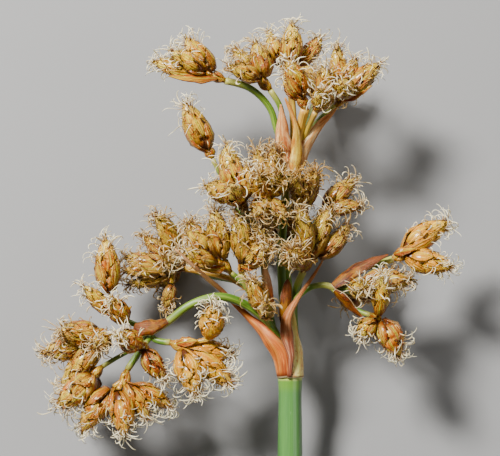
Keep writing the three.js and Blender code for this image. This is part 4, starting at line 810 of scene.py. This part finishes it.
def scale_finish(fibres):
    """Papery scales: orange-red at a spikelet's foot and yellow towards its tip, streaked and flecked with
    red-brown, with a pale green-gold midrib, a red-brown line inside the margin and a thin pale edge. Each
    scale is darker towards its own foot, as painted shade where the one below covers it. The core between
    them is darker, as painted shade, and a bunch's painted shade makes its scales duller and darker or, where
    the mark is negative, brighter gold as painted light."""
    scale = Finish("spikelet_scales", 0.42, soft=0.12, specular=0.2, coat=0.4, coat_roughness=0.18)
    across, run, tone, warmth, depth, dull, up = scale.marks("across run tone warmth depth dull up")
    sums, times = scale.sums, scale.times
    aside = sums("ABSOLUTE", across)
    place = scale.point(times(tone, 37.0, across), times(run, 2.0), times(tone, 19.0))
    streak, patch, fleck = scale.fibre(fibres, place, 12.0)
    warm = times(warmth, 0.8, times(tone, 0.5, -0.3))
    warm = times(patch, 1.8, sums("SUBTRACT", warm, 0.86))
    border = times(fleck, 0.8, aside)
    base = scale.coated(
        scale.ramp(warm, 0.0, 0.9, (222, 172, 16), (192, 98, 0)),
        (warm, 0.9, 1.5, 0.9, (124, 46, 0)),
        (patch, 0.47, 0.34, 0.7, (240, 196, 40)),
        (up, 0.5, 0.05, 0.75, (130, 58, 0)),
        (up, 0.45, 0.9, 0.5, (252, 224, 104)),
        (streak, 0.51, 0.62, 0.5, (140, 68, 4)),
        (streak, 0.47, 0.37, 0.6, (252, 222, 104)),
        (fleck, 0.55, 0.63, 0.8, (136, 50, 0)),
        (aside, 0.2, 0.05, 0.6, (172, 164, 34)),  # the midrib
        (border, 1.06, 1.26, 0.75, (140, 46, 6)),  # the line inside the margin
        (border, 1.34, 1.42, 0.9, (246, 220, 130)),  # the edge
        # painted shade: each scale darker towards its foot, where the scale below covers it
        (run, 0.36, 0.0, 0.75, (112, 46, 2)),
    )
    # painted shade dulls bunches that lie in shade; a negative mark paints light, brighter gold
    painted_shade_colour = scale.ramp(patch, 0.42, 0.58, (172, 142, 52), (112, 66, 16))
    base = scale.mixed(times(dull, 0.9), base, painted_shade_colour)
    base = scale.mixed(times(dull, -1.2), base, (252, 176, 14))
    # painted shade: the core between the scales turns dark brown
    base = scale.mixed(depth, base, (78, 36, 6))
    veins = sums("SINE", times(across, 21.0))
    scale.raised(times(veins, 0.25, sums("ADD", streak, fleck)), 0.8, 0.00025)
    scale.feed(scale.shader["Roughness"], scale.rise(streak, 0.3, 0.7, 0.3, 0.55))
    return scale.made(base)


def filament_finish(fibres):
    """Cream-white filaments, darker gold-brown towards the root as painted shade among the scales, and light
    brown where the mark says so, partly as their own colour and partly as painted shade, or paler as painted
    light where the mark is negative.
    """
    filament = Finish("spent_filaments", 0.42, soft=0.2)
    run, tone, tan = filament.marks("run tone tan")
    sums, times = filament.sums, filament.times
    place = filament.point(times(tone, 53.0), times(run, 3.0), tone)
    patch = filament.fibre(fibres, place, 3.0)[1]
    # light brown in random patches, and where the mark says so partly as painted shade
    tan_and_shade_level = sums("ADD", times(patch, 1.6), sums("SUBTRACT", tan, 0.74))
    pale = filament.ramp(tan_and_shade_level, 0.0, 0.85, (236, 222, 182), (160, 120, 48))
    # painted shade: darker gold-brown towards the root, among the scales
    return filament.made(filament.ramp(run, 0.0, 0.55, (128, 78, 24), pale))


def leaf_finish(fibres, name, body, light, dark, middle, outer, middle_share, outer_start):
    """A dry leaf: a body colour with light and dark streaks drawn out along it, a coloured middle, another
    colour over its outer part, pale papery margins, and a dark foot with a pale rim."""
    leaf = Finish(name, 0.45, soft=0.08, specular=0.2)
    across, run, tone = leaf.marks("across run tone")
    sums, times = leaf.sums, leaf.times
    aside = sums("ABSOLUTE", across)
    place = leaf.point(times(tone, 41.0, times(across, 1.4)), times(run, 4.5), tone)
    streak, patch, fleck = leaf.fibre(fibres, place, 13.0)
    base = leaf.coated(
        body,
        (patch, 0.5, 0.6, 0.7, light),
        (patch, 0.48, 0.38, 0.8, dark),
        (aside, middle_share, 0.0, 0.7, middle),
        (run, outer_start - 0.15, outer_start + 0.15, 0.65, outer),
        (streak, 0.5, 0.6, 0.5, dark),
        (streak, 0.46, 0.38, 0.4, light),
        (fleck, 0.55, 0.64, 0.45, (158, 66, 26)),
        (aside, 0.6, 0.88, 0.5, dark),
        (aside, 0.9, 1.0, 0.85, (232, 200, 150)),  # the margins
        (run, 0.04, 0.012, 0.75, (84, 26, 6)),
        (run, 0.012, 0.004, 0.8, (240, 216, 160)),
    )
    veins = sums("SINE", times(across, 46.0))
    leaf.raised(times(veins, 0.08, streak), 0.5, 0.00015)
    leaf.feed(leaf.shader["Roughness"], leaf.rise(streak, 0.3, 0.7, 0.34, 0.58))
    return leaf.made(base)


def ray_finish(fibres):
    """Green rays with pale streaks, yellower towards both ends, and golden where the mark says pale."""
    ray = Finish("green_rays", 0.42, soft=0.1)
    across, beside, run, reach, tone, pale = ray.marks("across beside run reach tone pale")
    sums, times = ray.sums, ray.times
    place = ray.point(across, times(reach, 0.14, times(tone, 9.0)), beside)
    streak, patch, fleck = ray.fibre(fibres, place, 4.5)
    base = ray.coated(
        ray.ramp(streak, 0.36, 0.66, (78, 112, 20), (124, 148, 44)),
        (patch, 0.5, 0.7, 0.6, (52, 100, 22)),
        (sums("ABSOLUTE", sums("SUBTRACT", run, 0.45)), 0.3, 0.56, 0.7, (190, 176, 84)),
        (fleck, 0.66, 0.76, 0.6, (176, 110, 56)),
    )
    golden = ray.coated(
        ray.ramp(streak, 0.4, 0.6, (226, 178, 60), (186, 124, 26)),
        (patch, 0.5, 0.62, 0.7, (160, 78, 10)),
    )
    ray.raised(streak, 0.35)
    return ray.made(ray.mixed(pale, base, golden))


def culm_finish(fibres):
    """The smooth glaucous stem: green with fine paler lines along it, darker at its two sides as painted
    shade, yellower just below its upper edge, and with a pale rim where the leaves start."""
    culm = Finish("culm_green", 0.38, soft=0.08, coat=0.5, coat_roughness=0.16)
    across, beside, reach = culm.marks("across beside reach")
    sums, times = culm.sums, culm.times
    place = culm.point(times(across, 3.0), times(reach, 0.1), times(beside, 3.0))
    streak, patch, fleck = culm.fibre(fibres, place, 9.0)
    base = culm.coated(
        culm.ramp(streak, 0.2, 0.8, (66, 118, 48), (90, 140, 66)),
        (patch, 0.4, 0.7, 0.4, (58, 108, 46)),
        # painted shade: the stem darker at its two sides
        (sums("ABSOLUTE", across), 0.7, 0.95, 0.35, (46, 96, 34)),
        (fleck, 0.68, 0.78, 0.5, (170, 200, 150)),
        (reach, CULM_LENGTH - 3.0, CULM_LENGTH - 1.4, 0.6, (104, 146, 34)),
        (reach, CULM_LENGTH - 0.9, CULM_LENGTH - 0.4, 0.85, (176, 186, 84)),
    )
    culm.raised(streak, 0.15)
    return culm.made(base)


def pith_finish():
    """The cut end: a pale spongy pith with darker air spaces, and a green skin round it."""
    pith = Finish("cut_pith", 0.7, soft=0.15)
    across, beside, reach = pith.marks("across beside reach")
    cells = pith.add("TexVoronoi", pith.point(across, beside, 0.0), feature="DISTANCE_TO_EDGE")
    cells.inputs["Scale"].default_value = 3.6
    hole = pith.rise(cells.outputs["Distance"], 0.1, 0.26, 0, 0.8)
    base = pith.mixed(hole, (232, 230, 196), (150, 142, 92))
    pith.raised(pith.sums("SUBTRACT", 1.0, hole), 0.8)
    return pith.made(pith.coated(base, (reach, 0.82, 0.94, 1, (104, 148, 84))))


def floor_finish():
    """A plain pale matt surface."""
    floor = Finish("pale_surface", 0.85)
    cloud = floor.noise(floor.add("TexCoord").outputs["Object"], 6.0, 2.0)
    return floor.made(floor.mixed(cloud, (134, 133, 131), (139, 138, 136)))


def linked(name, data):
    """A new object of the scene."""
    made = bpy.data.objects.new(name, data)
    bpy.context.scene.collection.objects.link(made)
    return made


def piece(name, skins, material, slot, node=None):
    """One mesh of several skins, in the frame, with their marks, riding on the root body."""
    points = kept_in(in_frame(np.concatenate([s["points"] for s in skins])))
    starts = np.cumsum([0] + [len(s["points"]) for s in skins[:-1]])
    faces = []
    for kind in ("quads", "triangles"):
        faces += np.concatenate([s[kind] + start for s, start in zip(skins, starts)]).tolist()
    mesh = bpy.data.meshes.new(name)
    mesh.from_pydata(points, [], faces)
    for label in skins[0]["marks"]:
        values = np.concatenate([s["marks"][label] for s in skins]).astype(np.float32)
        mesh.attributes.new(label, "FLOAT", "POINT").data.foreach_set("value", values)
    mesh.shade_smooth()
    mesh.materials.append(material)
    made = linked(name, mesh)
    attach(made, "root")
    if node:
        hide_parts(node)


def culm(material, pith):
    """The stem: circles along a straight line, a little narrower below its top edge by a share that rises
    and dies away as x times e to the 1 - x, with low grooves, as a cosine round it, and the cut face at its
    foot: circles on a flat, closed by the same circles just inside the stem."""
    angle = circle(CULM_SIDES)

    def upright(radius, y):
        """Circles of each radius at each height y."""
        x = np.cos(angle) * radius
        return np.stack([x, np.broadcast_to(y, x.shape), -np.sin(angle) * radius], -1)

    edge, edge_shares = np.transpose(CULM_EDGE)
    straight = np.linspace(-CULM_LENGTH + 0.5, -1, 60)
    y = np.concatenate([[-CULM_LENGTH, -CULM_LENGTH + 0.06], straight, edge])[:, None]
    radius = np.full(y.shape, CULM_RADIUS)
    radius[0] *= 0.97
    radius[-len(edge) :, 0] *= edge_shares
    below = np.maximum(-y, 0) / WAIST_DEPTH
    radius *= 1 - WAIST * below * np.exp(1 - below)
    rings = upright(radius * (1 + CULM_GROOVES * np.cos(24 * angle)), y)
    marks = {"across": np.cos(angle), "beside": np.sin(angle), "reach": y + CULM_LENGTH}
    piece("culm_stem", [skin(rings[None], **marks)], material, "culm", "culm")
    share = np.array(PITH_RINGS)[:, None]
    face = upright(CULM_RADIUS * share, -CULM_LENGTH - 0.03)
    rings = np.concatenate([face, face[::-1] + [0, 0.05, 0]])
    reach = np.concatenate([share, share[::-1]])
    marks = {"across": np.cos(angle) * reach, "beside": np.sin(angle) * reach, "reach": reach}
    piece("culm_cut_face", [skin(rings[None], **marks)], pith, "culm")


def rays(material):
    """The rays of the umbel, each a bare stem with its side stems."""
    for number, (name, stems) in enumerate(RAYS.items()):
        skins = []
        for i, (radii, path, *pale) in enumerate(stems):
            skins.append(stem_skin(path, radii, number + 0.3 * i, *pale))
        piece(name + "_stems", skins, material, "ray", name)


def bracts(finishes):
    """The leaves at the joints."""
    for number, (name, leaf) in enumerate(BRACTS.items()):
        rng = np.random.default_rng(BRACT_SEED + number)
        made = leaf_skin(leaf["path"], leaf["half"], leaf["face"], leaf["curl"], rng, 0.1 * number)
        piece(name + "_leaf", [made], finishes[leaf["finish"]], leaf.get("slot", "bract"), name)


def scaly(made, warmth, tone):
    """Gives a stem or a leaf the marks that the scales' material reads."""
    run = made["marks"]["run"]
    marks = {"across": made["marks"]["across"], "run": 0.35 + 0.5 * run, "up": 0.1 + 0.4 * run}
    for name, value in {"tone": tone, "warmth": warmth, "dull": 0.0, "depth": 0.0}.items():
        marks[name] = np.full(len(run), value)
    return {**made, "marks": marks}


def stem_end(hub):
    """The end of the stem that is nearest to a hub."""
    ends = np.array([stem[1][-1] for stems in RAYS.values() for stem in stems], float)
    return ends[np.argmin(np.linalg.norm(ends - hub, axis=1))]


def head(hub, spikelets, rng, wings=(), warmth=0.5, fuzz=1.0, tan=0.0, full=1.0, count=SCALES):
    """A bunch of spikelets: its neck and knob, wrapped in a few broad scales, the stalks of those spikelets
    that stand away from it, their cores and scales, the short bracts below, and the fringe of filaments.
    warmth goes from gold to red-brown, fuzz is a share of the usual filaments, tan turns the filaments light
    brown, partly as their own colour and partly as painted shade, and makes the scales duller as painted
    shade or, where negative, brightens the bunch as painted light, full widens the spikelets and count is the
    number of scales on each."""
    hub = np.asarray(hub, float)
    neck = stem_end(hub)
    ahead = unit(np.mean([np.asarray(spikelet[1]) - hub for spikelet in spikelets], axis=0))
    middle = stem_skin([neck, hub, hub + ahead * 0.6], [STALK_RADIUS, 0.75, 0.3], 0.2)
    wrap = Spikelet(neck, hub + ahead * 1.7, 2 * KNOB_RADIUS, rng)
    skins = [scaly(middle, 0.6, 0.5), scale_skin(wrap, rng, 0.8, tan, 6, half=0.5, length=0.7, reach=0.42)]
    fringe = []
    for base, tip, width, *own in spikelets:
        start = np.asarray(base, float)
        away = np.linalg.norm(start - hub)
        if away > LONG_STALK:
            skins.append(scaly(stem_skin([hub, base], [STALK_RADIUS, STALK_RADIUS], 0.2), 0.4, 0.5))
        else:
            start = hub + (start - hub) * KNOB_RADIUS / 2 / away
        spikelet = Spikelet(start, tip, width * full * SPIKELET_FULLNESS, rng)
        skins.append(core_skin(spikelet, warmth, tan))
        own_warmth = (own[0] if own else warmth) + WARMTH_SPREAD * rng.uniform(-1, 1)
        own_fuzz = fuzz * (own[1] if len(own) > 1 else 1)
        broad = SCALE_HALF * (SCALES / count) ** 0.6
        skins.append(scale_skin(spikelet, rng, own_warmth, tan, count, half=broad))
        fringe += fringe_skins(spikelet, rng, own_fuzz, tan)
    for seat, tip, half in wings:
        seat = np.asarray(seat, float)
        reach = tip - seat
        rising = [seat + 0.35 * reach + [0, 0, 0.3], seat + 0.7 * reach + [0, 0, 0.2]]
        path = [seat + WING_ROOT * (hub - seat), *rising, tip]
        made = leaf_skin(path, [0.3 * half, half, half * 0.75, 0.08], [0, 0.2, 1], 0.5, rng)
        skins.append(scaly(made, 0.9, 0.4))
    return skins, fringe


def heads(scales, filaments):
    """The bunches of spikelets, each with its fringe as a piece of its own."""
    for number, (name, bunch) in enumerate(HEADS.items()):
        skins, fringe = head(rng=np.random.default_rng(HEAD_SEED + number), **bunch)
        piece(name + "_scales", skins, scales, "head", name)
        piece(name + "_fringe", fringe, filaments, "head")


def stage():
    """The pale surface, three soft lamps, an even sky and the camera, which looks down on the lying plant."""
    mesh = bpy.data.meshes.new("surface")
    corners = [(x * FLOOR_HALF, y * FLOOR_HALF, 0) for x, y in ((-1, -1), (1, -1), (1, 1), (-1, 1))]
    mesh.from_pydata(corners, [], [(0, 1, 2, 3)])
    mesh.materials.append(floor_finish())
    linked("surface", mesh)
    for name, place, size, power in LAMPS:
        light = bpy.data.lights.new(name, "AREA")
        light.shape = "DISK"
        light.size = size
        light.energy = power
        lamp = linked(name, light)
        lamp.location = place
        lamp.rotation_euler = (-lamp.location).to_track_quat("-Z", "Y").to_euler()
    world = bpy.data.worlds.new("even_sky")
    world.use_nodes = True
    background = world.node_tree.nodes["Background"]
    background.inputs["Color"].default_value = SKY_COLOUR
    background.inputs["Strength"].default_value = SKY
    bpy.context.scene.world = world
    lens = bpy.data.cameras.new("camera")
    lens.sensor_width = SENSOR
    lens.lens = SENSOR * CAMERA_PLACE[2] / VIEW_WIDTH
    lens.clip_start = 0.01
    camera = linked("camera", lens)
    camera.location = in_frame(CAMERA_PLACE)
    camera.rotation_euler = (LEAN, 0, 0)
    bpy.context.scene.camera = camera


stage()
fibres = fibre_group()
culm(culm_finish(fibres), pith_finish())
rays(ray_finish(fibres))
bracts({name: leaf_finish(fibres, name, *looks) for name, looks in LEAF_COLOURS.items()})
heads(scale_finish(fibres), filament_finish(fibres))
